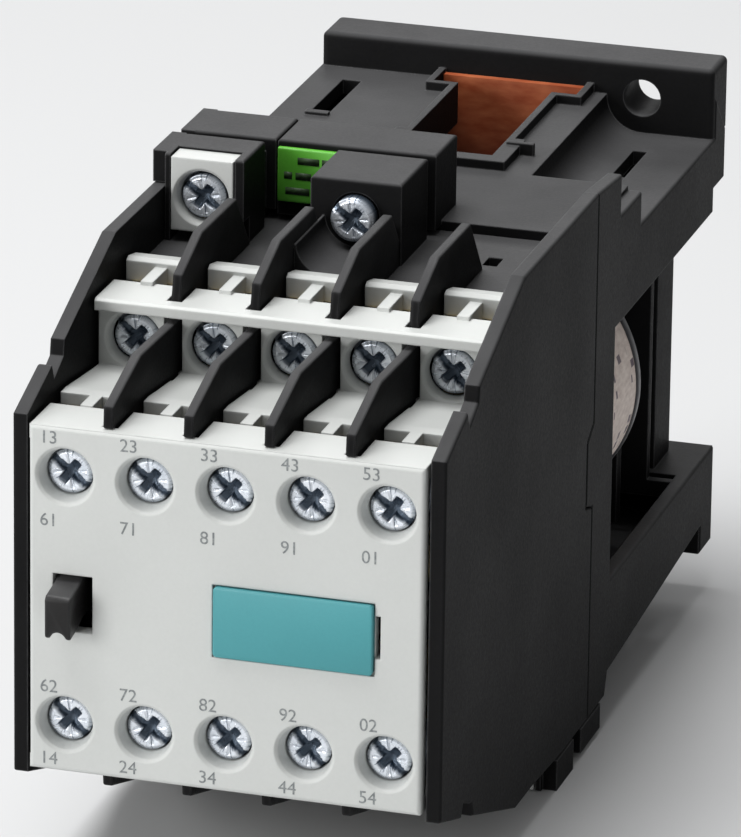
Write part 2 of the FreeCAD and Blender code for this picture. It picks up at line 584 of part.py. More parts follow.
def coil_cover(name):
    """The grey cap over the coil terminal, with its screw opening."""
    wide = ("coil_screw_x - coil_cap_half", "coil_screw_x + coil_cap_half")
    face = box(name + "_face", wide, ("coil_front - 0.2", "coil_front + 1.4"),
               ("floor_top + 1.6", "coil_top - 0.3"))
    top = box(name + "_top", wide, ("coil_front", "coil_front + coil_cap_deep"),
              ("coil_top - 1.5", "coil_top - 0.3"))
    funnel = bowl(name + "_bowl", "coil_screw_x", "coil_front - 0.2", "coil_screw_rise")
    return cut(name, fused(name + "_cap", [face, top]), funnel)


def coil_bar(name):
    """The coil's terminal bar, which passes down towards the winding."""
    back_face = "coil_back - coil_back_wall"
    wide = ("coil_screw_x - coil_bar_half", "coil_screw_x + coil_bar_half")
    bar = box(name + "_bar", wide, ("%s - bar_thick" % back_face, back_face),
              ("floor_top + 0.3", "coil_screw_rise + coil_bar_half"))
    hole = rod(name + "_hole", "coil_screw_x", ("coil_front", "coil_back"), "coil_screw_rise",
               "shank_radius + thread_spare")
    return cut(name, bar, [hole])


upper_block = coil_block("coil_terminal_block_upper")
keep("coil_terminal_block_upper", upper_block)
keep("coil_terminal_block_lower", turned(upper_block))
upper_cap = coil_cover("coil_terminal_cover_upper")
keep("coil_terminal_cover_upper", upper_cap)
keep("coil_terminal_cover_lower", turned(upper_cap))
upper_bar = coil_bar("coil_bar")
keep("coil_terminal_bars", group("coil_terminal_bars", with_twins([upper_bar])))
coil_screw = placed("coil_screw", terminal_screw, "coil_screw_x", "coil_front + coil_head",
                    "coil_screw_rise")
keep("coil_terminal_screws", group("coil_terminal_screws", with_twins([coil_screw])))
coil_washer = placed("coil_washer", washer, "coil_screw_x",
                     "coil_front + coil_head + head_thick + washer_thick + 0.2", "coil_screw_rise")
keep("coil_clamp_washers", group("coil_clamp_washers", with_twins([coil_washer])))
lug_screw = placed("lug_screw", housing_screw, "0", "lug_front - head_thick + 0.6", "lug_screw_rise")
keep("housing_screws", group("housing_screws", with_twins([lug_screw])))


# ---- rear housing ----

def rear_wall(name, x, top):
    """A side wall of the rear housing, open at the back for the window."""
    return slab(name, top + [
        ("flange + 1", "flange_top - 4"), ("back - 1.3", "25"), ("back - 1.3", "seat_top"),
        ("front", "seat_top"), ("front", "arm_high"), ("window_front", "arm_high"),
        ("window_front", "arm_low"), ("foot_back", "arm_low"), ("foot_back", "foot_low"),
        ("lower_face", "foot_low"), ("lower_face", "-29.7"), ("79", "-32.9"), ("77.7", "-35.9"),
        ("seam", "-35.9"), ("seam", "-6.4"), ("seam - 2.8", "-5.6"), ("seam - 2.8", "3.2"),
        ("seam", "5")], x)


left_rear = rear_wall("left_rear", ("-half_width", "-half_width + wall"), [
    ("seam", "deck"), ("flange + 1", "deck")])
right_rear = rear_wall("right_rear", ("half_width - wall", "half_width"), [
    ("seam", "body_top"), ("80.6", "35"), ("80.6", "29.5"), ("pocket_front", "29.5"),
    ("pocket_front", "pocket_floor"), ("flange + 1", "pocket_floor")])


def deck_half(name):
    """One deck with its coil recess, rim, fixing pocket, slots, flange and lug."""
    deck = box(name + "_deck", inner, ("seam", "flange + 1"), ("deck - skin", "deck"))
    pocket = box(name + "_pocket", ("plateau", "half_width - wall"), ("pocket_front", "flange + 1"),
                 ("pocket_floor", "deck + 1"))
    pocket_x = ("plateau - pocket_wall", "half_width - wall")
    floor = box(name + "_floor", pocket_x, ("pocket_front - pocket_wall", "flange + 1"),
                ("pocket_floor - skin", "pocket_floor"))
    lip = box(name + "_lip", pocket_x, ("pocket_front - pocket_wall", "pocket_front"),
              ("pocket_floor - 1", "deck"))
    side = box(name + "_side", ("plateau - pocket_wall", "plateau"),
               ("pocket_front - pocket_wall", "flange + 1"), ("pocket_floor - 1", "deck"))
    rims = [
        box(name + "_rim", ("-recess_half - rim_thin", "recess_half + rim_thin"),
            ("recess_front - rim_thin", "recess_back"), ("deck - skin", "deck + rim")),
        box(name + "_flat_rim", ("-recess_half - rim_flat", "recess_half + rim_flat"),
            ("recess_front - rim_flat", "rim_step"), ("deck - skin", "deck + rim")),
        box(name + "_wide_rim", ("-recess_wide - rim_thin", "recess_wide + rim_thin"),
            ("recess_back - rim_thin", "flange + 1"), ("deck - skin", "deck + rim")),
        box(name + "_well", ("-recess_half - rim_thin", "recess_half + rim_thin"),
            ("recess_front - rim_thin", "recess_back"), ("well_low", "deck"))]
    rib = box(name + "_rib", ("recess_half + 0.5", "rib_reach"), ("rib_depth", "rib_depth + rib_thick"),
              ("deck - 0.5", "deck + rib_high"))
    corner_block = box(name + "_corner_block", ("plateau - 0.5", "hole_x"),
                       ("pocket_front - 0.5", "flange + 0.5"), ("pocket_floor - 0.5", "hole_rise"))
    corner_round = rod(name + "_corner_round", "hole_x", ("pocket_front - 2", "flange + 2"), "hole_rise",
                       "pocket_round")
    corner = cut(name + "_corner", corner_block, [corner_round])
    opening = box(name + "_opening", ("-recess_half", "recess_half"), ("recess_front", "flange"),
                  ("deck - 10", "deck + 3"))
    wide = box(name + "_wide", ("-recess_wide", "recess_wide"), ("recess_back", "flange"),
               ("deck - 10", "deck + 3"))
    slots = [box(name + "_slot_left", ("slot_left", "slot_right"), ("slot_front", "slot_back"),
                 ("deck - 5", "deck + 3")),
             box(name + "_slot_right", ("18.5", "20.4"), ("107.2", "120.2"), ("pocket_floor - 5", "deck"))]
    slot_lip = box(name + "_slot_lip", ("slot_left - 0.3", "slot_right + 0.3"),
                   ("slot_front - 1.6", "slot_front - 0.5"), ("deck - 0.5", "deck + 0.5"))
    lug_piece = softened(box(name + "_lug", ("bar_split + 0.1", "bar_right"), ("bar_front", "bar_back"),
                             ("deck - 0.5", "lug_top")), top_edges("lug_top"))
    lug_bore = rod(name + "_lug_bore", "0", ("bar_front - 1", "bar_back - 1.5"), "lug_screw_rise",
                   "shank_radius + thread_spare / 2")
    plate = fused(name + "_open_deck", [
        cut(name + "_pocketed", deck, [pocket]), floor, lip, side, corner, rib, slot_lip] + rims)
    return fused(name, [cut(name + "_cut", plate, [opening, wide] + slots),
                        cut(name + "_drilled_lug", lug_piece, [lug_bore])])


deck = deck_half("deck_half")
upper_flange = rounded("upper_flange", box(
    "flange_block", ("-half_width + 0.2", "half_width - 0.2"), ("flange", "back"), ("25", "flange_top")),
    2 * SIZES["edge_round"], lambda edge: edge.BoundBox.ZMax > SIZES["flange_top"] + SIZES["mid"] - 0.01)
upper_arm = box("upper_arm", inner, ("flange", "back - 1.3"), ("seat_top", "25.5"))
lower_flange = box("lower_flange", ("-half_width + 0.2", "half_width - 0.2"), ("lower_face", "foot_back"),
                   ("foot_low", "arm_low"))
foot = box("foot", inner, ("flange - 8", "foot_back"), ("arm_low - skin", "arm_low"))
seat = box("seat", ("-seat_half", "seat_half"), ("seat_front", "front"), ("arm_low", "seat_top"))
seat_room = box("seat_room", ("-seat_half + wall", "seat_half - wall"),
                ("seat_front - 1", "front - seat_thick"), ("arm_low + 0.01", "seat_top - wall"))
inner_wall = box("inner_wall", ("-20", "20"), ("damper_back", "damper_back + skin"), ("-24", "24"))
screen = [box("screen", ("-screen_half", "screen_half"), ("screen_front", "screen_back"), ("-22.5", "17.5")),
          box("screen_top", inner, ("screen_front", "screen_back"), ("arm_high + 0.2", "17.5")),
          box("screen_foot", inner, ("screen_front", "screen_back"), ("-22.5", "arm_low - 0.2"))]
hook_front = "front + rail_thick + rail_spare"
hook = box("hook", ("-hook_half", "hook_half"), (hook_front, "%s + hook_thick" % hook_front),
           ("rail_half - mid - hook_lap", "hook_top"))
hook_root = box("hook_root", ("-hook_half", "hook_half"), ("front", "back - 1.3"),
                ("rail_half - mid + 0.3", "hook_top"))
fixing_holes = [rod("fixing_hole_%s" % side, x, ("flange - 3", "back + 1"), rise, "hole_radius")
                for side, x, rise in (("upper", "hole_x", "hole_rise"), ("lower", "-hole_x", "-hole_rise"))]
screw_way = box("screw_way", ("-hole_x - 5", "-hole_x + 5"), ("120", "lower_face"), ("-34", "-24.6"))
hook_relief = box("hook_relief", ("-hook_half - 0.5", "hook_half + 0.5"), ("front - relief", "front"),
                  ("relief_start - mid", "hook_top"))
latch_relief = box("latch_relief", ("-latch_half - 0.5", "latch_half + 0.5"),
                   ("front - relief", "front + 0.5"), ("arm_low - 1", "-latch_relief - mid"))
latch_way = box("latch_way", ("-latch_half - latch_spare", "latch_half + latch_spare"),
                ("latch_front - latch_spare", "foot_back + 1"), ("-40", "arm_low + 1"))
latch_stud = box("latch_stud", ("-1.4", "1.4"), ("latch_front - 0.5", "latch_front + latch_thick - 0.2"),
                 ("-32", "-30.8"))
seat_shell = cut("seat_shell", seat, [seat_room, hook_relief, latch_relief])
rear_walls = [softened(left_rear, outer_edges(-1)), softened(right_rear, outer_edges(1))]
rear_solid = fused("rear_solid", rear_walls + [upper_flange, upper_arm, lower_flange, foot, seat_shell,
                                               inner_wall, hook, hook_root] + screen + with_twins([deck]))
rear_cut = cut("rear_cut", rear_solid, fixing_holes + [screw_way, latch_way])
keep("rear_housing", fused("rear_housing", [rear_cut, latch_stud]))


# ---- rating label and insulating plate ----

keep("rating_label", box("rating_label", ("bar_split + 0.3", "-5.2"), ("bar_front - 0.8", "bar_front"),
                         ("31.6", "lug_top - 0.8")))
keep("insulating_plate", box("insulating_plate", ("-recess_wide + 0.1", "recess_wide - 0.1"),
                             ("flange - 1.2", "flange - 0.1"), ("seat_top + 0.05", "plate_top")))


# ---- coil ----

def oval(name, shrink, depth):
    """An elliptical block along the depth."""
    part = doc.addObject("Part::Ellipse", name + "_ring")
    part.Placement = FreeCAD.Placement(FreeCAD.Vector(), FACE_ON)
    part.setExpression("MajorRadius", bound("coil_a - (%s)" % shrink))
    part.setExpression("MinorRadius", bound("coil_b - (%s)" % shrink))
    locate(part, "0", depth[0], "coil_rise")
    block = doc.addObject("Part::Extrusion", name)
    block.Base = part
    block.DirMode = "Custom"
    block.Dir = FreeCAD.Vector(0, 1, 0)
    block.Solid = True
    block.setExpression("LengthFwd", bound("(%s) - (%s)" % (depth[1], depth[0])))
    return block


def core_way(name, spare):
    half = "limb_half + %s" % spare
    return box(name, ("-(%s)" % half, half), ("bobbin_front - 5", "bobbin_back + 5"),
               ("coil_rise - (%s)" % half, "coil_rise + %s" % half))


tube_half = ("-limb_half - tube_wall", "limb_half + tube_wall")
tube_rise = ("coil_rise - limb_half - tube_wall", "coil_rise + limb_half + tube_wall")
bobbin_tube = box("bobbin_tube", tube_half, ("bobbin_front", "bobbin_back"), tube_rise)
bobbin_solid = fused("bobbin_solid", [
    bobbin_tube,
    oval("bobbin_front_flange", "0", ("bobbin_front", "bobbin_front + flange_thick")),
    oval("bobbin_back_flange", "0", ("bobbin_back - flange_thick", "bobbin_back"))])
keep("coil_bobbin", cut("coil_bobbin", bobbin_solid, [core_way("bobbin_way", "0.2")]))
winding_span = ("bobbin_front + flange_thick", "bobbin_back - flange_thick")
winding_tube = box("winding_tube", tube_half, ("bobbin_front", "bobbin_back"), tube_rise)
keep("coil_winding", cut("coil_winding", oval("winding_oval", "winding_sunk", winding_span), [winding_tube]))
label_span = ("bobbin_front + flange_thick + 0.5", "bobbin_back - flange_thick")
label_side = box("label_side", ("label_left", "half_width"), label_span,
                 ("coil_rise - coil_b", "coil_rise + coil_b"))
label_ring = cut("label_ring", oval("label_outer", "label_sunk", label_span),
                 [oval("label_inner", "winding_sunk", label_span)])
label_piece = doc.addObject("Part::Common", "coil_label")
label_piece.Base = label_ring
label_piece.Tool = label_side
keep("coil_label", label_piece)


# ---- magnet: an E-shaped core, its damper, and the armature in front ----

core_half = ("-pole_half", "pole_half")
yoke = box("yoke", core_half, ("bobbin_back + 0.3", "yoke_back"),
           ("coil_rise - pole_rise", "coil_rise + pole_rise"))
limb = box("limb", ("-limb_half", "limb_half"), ("bobbin_front - pole_proud", "yoke_back"),
           ("coil_rise - limb_half", "coil_rise + limb_half"))
poles = [box("pole", core_half, ("bobbin_front - pole_proud", "yoke_back"), span)
         for span in (("coil_rise + pole_rise - pole_thick", "coil_rise + pole_rise"),
                      ("coil_rise - pole_rise", "coil_rise - pole_rise + pole_thick"))]
keep("fixed_core", fused("fixed_core", [yoke, limb] + poles))
keep("core_damper", box("core_damper", ("-pole_half + 1", "pole_half - 1"), ("yoke_back", "damper_back"),
                        ("coil_rise - damper_half", "coil_rise + damper_half")))

armature_body = doc.addObject("PartDesign::Body", "armature")
armature_planes = {feature.Role: feature for feature in armature_body.Origin.OriginFeatures}
armature_sketch = armature_body.newObject("Sketcher::SketchObject", "armature_outline")
armature_sketch.AttachmentSupport = [(armature_planes["XZ_Plane"], "")]
armature_sketch.MapMode = "FlatFace"
outline(armature_sketch, [
    ("-pole_half", "coil_rise - pole_rise"), ("pole_half", "coil_rise - pole_rise"),
    ("pole_half", "coil_rise + pole_rise"), ("-pole_half", "coil_rise + pole_rise")])
armature_pad = armature_body.newObject("PartDesign::Pad", "armature_pad")
armature_pad.Profile = armature_sketch
armature_pad.setExpression("Length", "Spec.armature_thick")
armature_pad.Reversed = True
tongue_sketch = armature_body.newObject("Sketcher::SketchObject", "tongue_outline")
tongue_sketch.AttachmentSupport = [(armature_planes["XZ_Plane"], "")]
tongue_sketch.MapMode = "FlatFace"
outline(tongue_sketch, [("-tongue_half", "-tongue_rise"), ("tongue_half", "-tongue_rise"),
                        ("tongue_half", "tongue_rise"), ("-tongue_half", "tongue_rise")])
tongue_pad = armature_body.newObject("PartDesign::Pad", "tongue_pad")
tongue_pad.Profile = tongue_sketch
tongue_pad.setExpression("Length", "Spec.tongue")
pin_sketch = armature_body.newObject("Sketcher::SketchObject", "pin_hole_outline")
pin_sketch.AttachmentSupport = [(armature_planes["YZ_Plane"], "")]
pin_sketch.MapMode = "FlatFace"
pin_centre = FreeCAD.Vector(-SIZES["pin_ahead"], 0, 0)
pin_bore = SIZES["pin_radius"] + SIZES["pin_spare"]
pin_sketch.addGeometry(Part.Circle(pin_centre, FreeCAD.Vector(0, 0, 1), pin_bore))
pin_pocket = armature_body.newObject("PartDesign::Pocket", "pin_hole")
pin_pocket.Profile = pin_sketch
pin_pocket.Type = "ThroughAll"
pin_pocket.Midplane = True
locate(armature_body, "0", "armature_front", "0")
keep("armature", armature_body)


def cross_rod(name, half, radius):
    """A round bar across the object on the armature pin's axis."""
    part = doc.addObject("Part::Cylinder", name)
    part.Placement = FreeCAD.Placement(FreeCAD.Vector(), ALONG_X)
    part.setExpression("Radius", bound(radius))
    part.setExpression("Height", bound("2 * (%s)" % half))
    locate(part, "-(%s)" % half, "armature_front - pin_ahead", "0")
    return part


keep("armature_pin", cross_rod("armature_pin", "pin_half", "pin_radius"))


# ---- contact carrier: a flat comb with a window for each bridge and its spring ----

near_window = ("near_bar + bar_thick + 2 * tip_thick",
               "near_bar + bar_thick + 2 * tip_thick + bridge_thick + spring_room")
far_bridge_back = "far_bar - 2 * tip_thick - travel - air"
far_window = ("%s - bridge_thick - spring_room" % far_bridge_back, far_bridge_back)
carrier_plate = box("carrier_plate", ("-carrier_half", "carrier_half"), ("carrier_front", "carrier_back"),
                    ("-carrier_rise", "carrier_rise"))
carrier_foot = box("carrier_foot", ("-carrier_half + 1.2", "carrier_half - 1.2"),
                   ("carrier_back", "carrier_back + carrier_foot"), ("-4.5", "4.5"))
ears = [box("carrier_ear", span, ("carrier_back + 2", "armature_front - 1"), ("-ear_rise", "ear_rise"))
        for span in (("-ear_outside", "-ear_inside"), ("ear_inside", "ear_outside"))]
windows = []
for column in COLUMNS:
    for low, high in (near_window, far_window):
        windows.append(box("carrier_window", (across(column, "-window_wide"), across(column, "window_wide")),
                           (low, high), ("-5", "5")))
pin_hole = cross_rod("ear_hole", "pin_half + 2", "pin_radius + pin_spare")
keep("contact_carrier", cut("contact_carrier", fused("carrier_solid", [carrier_plate, carrier_foot] + ears),
                            windows + [pin_hole]))


def bridge(name, back_side):
    """A moving contact bridge with a tip at each end; tips face forwards or backwards."""
    strip = box(name + "_strip", ("-bridge_width / 2", "bridge_width / 2"),
                ("front", "front + bridge_thick"), ("-mid - bridge_half", "-mid + bridge_half"))
    span = ("front + bridge_thick / 2", "front + bridge_thick + tip_thick") if back_side else (
        "front - tip_thick", "front + bridge_thick / 2")
    tips = [rod(name + "_tip", "0", span, "-mid %s tip_rise" % sign, "tip_radius") for sign in "+-"]
    return fused(name, [strip] + tips)


def wire_coil(name, radius, wire, pitch, length):
    """A coil spring along its own Z: an eight-sided wire swept along a helix."""
    corners = [(radius + wire * math.cos(turn * math.pi / 4), wire * math.sin(turn * math.pi / 4))
               for turn in range(9)]
    section = Part.makePolygon([FreeCAD.Vector(out, 0, up) for out, up in corners])
    part = doc.addObject("Part::Feature", name)
    part.Shape = Part.Wire(Part.makeHelix(pitch, length, radius)).makePipeShell([section], True, True)
    return part


def spring(name, radius, wire, pitch, length, spare):
    """A coil spring turned to lie along the depth."""
    part = wire_coil(name, radius, wire, pitch, length)
    part.Placement = FreeCAD.Placement(FreeCAD.Vector(0, spare, 0), ALONG_Y)
    return group(name + "_laid", [part])


def row(label, part, depth):
    """One copy per column on the middle plane."""
    copies = [placed("%s_%d" % (label, column + 3), part, across(column), depth, "0") for column in COLUMNS]
    keep(label, group(label, copies))


row("moving_bridges_nc", bridge("near_bridge", False), near_window[0])
row("moving_bridges_no", bridge("far_bridge", True), "%s - bridge_thick" % far_window[1])
wire = SIZES["spring_wire"] / 2
contact_spring = spring("contact_spring", SIZES["spring_radius"] - wire, wire, SIZES["spring_pitch"],
                        SIZES["spring_room"] - 2 * wire - SIZES["air"], wire + SIZES["air"] / 2)
row("contact_springs_nc", contact_spring, "%s + bridge_thick" % near_window[0])
row("contact_springs_no", contact_spring, far_window[0])
return_length = SIZES["bobbin_front"] - SIZES["carrier_back"] - SIZES["carrier_foot"]
return_spare = SIZES["return_spare"]
return_spring = spring("return_spring", SIZES["return_radius"], SIZES["return_wire"], SIZES["return_pitch"],
                       return_length - 2 * return_spare, return_spare)
for side, x in (("left", "-return_across"), ("right", "return_across")):
    label = "return_spring_%s" % side
    keep(label, placed(label, return_spring, x, "carrier_back + carrier_foot", "0"))



# ---- position indicator: a hooked peg on the carrier's front edge ----

peg = slab("peg", [
    ("peg_front", "peg_low + 0.3"), ("peg_front", "1.3"), ("peg_front + 0.4", "1.8"), ("-0.3", "2.3"),
    ("1", "window_high - 0.6"), ("carrier_front", "window_high - 0.6"), ("carrier_front", "-2.4"),
    ("1.5", "-2.4"), ("-0.8", "peg_low + 0.5"), ("peg_front + 0.3", "peg_low")],
    ("peg_left", "peg_right"))
arch = rod("arch", "(peg_left + peg_right) / 2", ("peg_front - 1", "0.5"), "peg_low - 0.15", "arch_radius")
keep("position_indicator", cut("position_indicator", peg, [arch]))


# ---- rail latch ----

latch_span = ("latch_front", "latch_front + latch_thick")
latch_plate = box("latch_plate", ("-latch_half", "latch_half"), latch_span,
                  ("latch_foot - mid", "latch_nose - mid"))
latch_through = ("latch_front - 1", "latch_front + latch_thick + 1")
latch_window = box("latch_window", ("-1.8", "1.8"), latch_through, ("-32.2", "-24"))
latch_slot = box("latch_slot", ("-2.2", "2.2"), latch_through, ("-36.4", "-34.6"))
keep("rail_latch", cut("rail_latch", latch_plate, [latch_window, latch_slot]))
latch_coil = wire_coil("latch_coil", SIZES["latch_coil_radius"], SIZES["latch_wire"],
                       SIZES["latch_pitch"], SIZES["latch_coil_length"])
keep("rail_latch_spring", placed("rail_latch_spring", latch_coil, "0", "latch_front + latch_thick / 2",
                                 "latch_spring_low"))

doc.recompute()


# ---- checks, then one file per node ----

for item in doc.Objects:
    if any(state in ("Invalid", "Error") for state in item.State):
        raise RuntimeError("%s did not build: %s" % (item.Name, item.State))
for node in nodes:
    shape = node.Shape
    if shape.isNull() or not shape.isValid() or not shape.Solids:
        raise RuntimeError("%s has no valid shape" % node.Label)
    print("%-28s solids %2d  volume %9.1f" % (node.Label, len(shape.Solids), shape.Volume))
    shape.exportStep("parts/%s.step" % node.Label)
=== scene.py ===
import math

import bmesh
import bpy
import numpy as np
from mathutils import Euler, Matrix, Vector


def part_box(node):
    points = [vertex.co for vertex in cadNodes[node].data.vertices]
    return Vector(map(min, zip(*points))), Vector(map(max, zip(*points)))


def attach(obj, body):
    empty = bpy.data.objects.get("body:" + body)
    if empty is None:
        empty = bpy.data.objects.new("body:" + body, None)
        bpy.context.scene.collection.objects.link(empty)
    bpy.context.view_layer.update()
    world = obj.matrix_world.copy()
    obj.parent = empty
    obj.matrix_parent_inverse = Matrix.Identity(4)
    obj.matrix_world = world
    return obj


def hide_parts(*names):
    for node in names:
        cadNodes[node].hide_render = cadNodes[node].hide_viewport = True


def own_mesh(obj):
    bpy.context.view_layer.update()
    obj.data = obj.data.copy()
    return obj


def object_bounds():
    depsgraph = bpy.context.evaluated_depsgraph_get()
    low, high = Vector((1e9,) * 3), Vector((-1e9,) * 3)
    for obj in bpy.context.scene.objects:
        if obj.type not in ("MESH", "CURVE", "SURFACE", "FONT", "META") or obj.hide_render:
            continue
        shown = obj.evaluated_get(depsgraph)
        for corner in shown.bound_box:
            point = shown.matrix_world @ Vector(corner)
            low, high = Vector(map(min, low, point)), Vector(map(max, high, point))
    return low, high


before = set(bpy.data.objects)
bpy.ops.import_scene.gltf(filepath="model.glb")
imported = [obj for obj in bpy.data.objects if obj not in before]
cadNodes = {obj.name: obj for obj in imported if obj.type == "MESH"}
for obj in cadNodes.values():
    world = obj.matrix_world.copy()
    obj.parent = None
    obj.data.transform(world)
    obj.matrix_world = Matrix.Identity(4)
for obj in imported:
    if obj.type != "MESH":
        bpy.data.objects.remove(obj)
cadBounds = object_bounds()
mm = 0.001

room = {
    "floorColour": (0.64, 0.645, 0.65, 1),
    "floorHalf": 6.0,
    "ambient": 0.24,
    "lights": [  # name, place, width, height, watts, colour
        ("topSoftbox", (-0.20, -0.15, 0.95), 0.60, 0.60, 10.5, (1.0, 1.0, 1.0)),
        ("backSoftbox", (-0.25, 0.90, 0.55), 0.50, 0.40, 2.4, (1.0, 1.0, 1.0)),
        ("frontSoftbox", (-0.70, -0.95, 0.30), 0.50, 0.60, 8.3, (1.0, 0.995, 0.99)),
    ],
}
cameraSet = {
    "place": (0.28248, -1.02049, 0.36423),
    "turnDegrees": (70.1892, -0.7121, 16.7714),
    "lens": 354.7,
    "sensor": 36.0,
}


def lookAt(piece, target):
    direction = Vector(target) - piece.location
    piece.rotation_euler = direction.to_track_quat("-Z", "Y").to_euler()


def buildRoom(settings, low, high):
    middle = (low + high) / 2
    half = settings["floorHalf"]
    floorMesh = bpy.data.meshes.new("floor")
    corners = [(-half, -half, low.z), (half, -half, low.z), (half, half, low.z), (-half, half, low.z)]
    floorMesh.from_pydata(corners, [], [(0, 1, 2, 3)])
    floor = bpy.data.objects.new("floor", floorMesh)
    bpy.context.scene.collection.objects.link(floor)
    paint = bpy.data.materials.new("floorPaint")
    paint.use_nodes = True
    shader = paint.node_tree.nodes["Principled BSDF"]
    shader.inputs["Base Color"].default_value = settings["floorColour"]
    shader.inputs["Roughness"].default_value = 0.8
    shader.inputs["Specular IOR Level"].default_value = 0.1
    floorMesh.materials.append(paint)
    for name, place, width, height, watts, colour in settings["lights"]:
        lamp = bpy.data.lights.new(name, "AREA")
        lamp.shape = "RECTANGLE"
        lamp.size = width
        lamp.size_y = height
        lamp.energy = watts
        lamp.color = colour
        holder = bpy.data.objects.new(name, lamp)
        holder.location = place
        lookAt(holder, middle)
        bpy.context.scene.collection.objects.link(holder)
    world = bpy.data.worlds.new("studio")
    world.use_nodes = True
    backdrop = world.node_tree.nodes["Background"]
    backdrop.inputs["Color"].default_value = (1, 1, 1, 1)
    backdrop.inputs["Strength"].default_value = settings["ambient"]
    bpy.context.scene.world = world
    bpy.context.scene.view_settings.view_transform = "Standard"


def buildCamera(settings):
    lens = bpy.data.cameras.new("camera")
    lens.lens = settings["lens"]
    lens.sensor_width = settings["sensor"]
    lens.clip_start = 0.05
    lens.clip_end = 50
    camera = bpy.data.objects.new("camera", lens)
    camera.location = settings["place"]
    camera.rotation_euler = Euler([math.radians(turn) for turn in settings["turnDegrees"]])
    bpy.context.scene.collection.objects.link(camera)
    bpy.context.scene.camera = camera


buildRoom(room, *cadBounds)
buildCamera(cameraSet)
print("room, lights and camera ready")


def newGroup(name, inputs, outputs):
    group = bpy.data.node_groups.new(name, "ShaderNodeTree")
    for label, kind, value in inputs:
        socket = group.interface.new_socket(label, in_out="INPUT", socket_type=kind)
        socket.default_value = value
    for label, kind in outputs:
        group.interface.new_socket(label, in_out="OUTPUT", socket_type=kind)
    start = group.nodes.new("NodeGroupInput")
    end = group.nodes.new("NodeGroupOutput")
    return group, start, end


def addNode(tree, kind, inputs=None, **settings):
    # A node with its properties set, and its inputs given as values or as sockets to link from.
    node = tree.nodes.new(kind)
    for key, value in settings.items():
        setattr(node, key, value)
    for key, value in (inputs or {}).items():
        if isinstance(value, bpy.types.NodeSocket):
            tree.links.new(value, node.inputs[key])
        else:
            node.inputs[key].default_value = value
    return node


def maths(tree, operation, first, second=0.0, clamp=False):
    node = addNode(tree, "ShaderNodeMath", {0: first, 1: second}, operation=operation, use_clamp=clamp)
    return node.outputs[0]


def mixColour(tree, factor, first, second, blend="MIX"):
    node = addNode(tree, "ShaderNodeMix", {0: factor, 6: first, 7: second}, data_type="RGBA",
                   blend_type=blend)
    return node.outputs[2]


def spanned(tree, value, low, high, newLow, newHigh):
    # Maps low..high onto newLow..newHigh, held at both ends.
    node = addNode(tree, "ShaderNodeMapRange", {0: value, 1: low, 2: high, 3: newLow, 4: newHigh})
    return node.outputs[0]


def buildMouldGrain():
    # Moulded plastic: slow clouding in the tone, spark-eroded grain in the height, uneven gloss.
    group, start, end = newGroup("mouldGrain", [
        ("Colour", "NodeSocketColor", (0.5, 0.5, 0.5, 1)), ("Clouding", "NodeSocketFloat", 0.1),
        ("Grain Scale", "NodeSocketFloat", 2500.0), ("Grain Height", "NodeSocketFloat", 0.02),
        ("Roughness", "NodeSocketFloat", 0.45), ("Gloss Spread", "NodeSocketFloat", 0.1),
        ("Normal", "NodeSocketVector", (0.0, 0.0, 0.0))],
        [("Colour", "NodeSocketColor"), ("Roughness", "NodeSocketFloat"), ("Normal", "NodeSocketVector")])
    place = addNode(group, "ShaderNodeTexCoord").outputs["Object"]
    cloud = addNode(group, "ShaderNodeTexNoise", {"Vector": place, "Scale": 55.0, "Detail": 4.0})
    grain = addNode(group, "ShaderNodeTexNoise", {
        "Vector": place, "Scale": start.outputs["Grain Scale"], "Detail": 3.0, "Roughness": 0.6})
    speck = addNode(group, "ShaderNodeTexVoronoi", {"Vector": place, "Scale": 900.0})
    cloudTone = spanned(group, cloud.outputs["Fac"], 0.3, 0.7, -1.0, 1.0)
    grainTone = spanned(group, grain.outputs["Fac"], 0.3, 0.7, -1.0, 1.0)
    tone = maths(group, "ADD", maths(group, "MULTIPLY", cloudTone, 0.7),
                 maths(group, "MULTIPLY", grainTone, 0.4))
    gain = maths(group, "ADD", maths(group, "MULTIPLY", tone, start.outputs["Clouding"]), 1.0)
    shade = addNode(group, "ShaderNodeVectorMath", {0: start.outputs["Colour"], "Scale": gain},
                    operation="SCALE")
    gloss = maths(group, "ADD", maths(group, "MULTIPLY", grainTone, 0.6),
                  maths(group, "MULTIPLY", cloudTone, 0.4))
    rough = maths(group, "ADD", maths(group, "MULTIPLY", gloss, start.outputs["Gloss Spread"]),
                  start.outputs["Roughness"], clamp=True)
    height = maths(group, "ADD", grain.outputs["Fac"],
                   maths(group, "MULTIPLY", speck.outputs["Distance"], 0.4))
    bump = addNode(group, "ShaderNodeBump", {"Strength": 1.0, "Distance": 0.0001})
    deep = maths(group, "MULTIPLY", height, start.outputs["Grain Height"])
    group.links.new(deep, bump.inputs["Height"])
    group.links.new(start.outputs["Normal"], bump.inputs["Normal"])
    group.links.new(shade.outputs[0], end.inputs["Colour"])
    group.links.new(rough, end.inputs["Roughness"])
    group.links.new(bump.outputs["Normal"], end.inputs["Normal"])
    return group


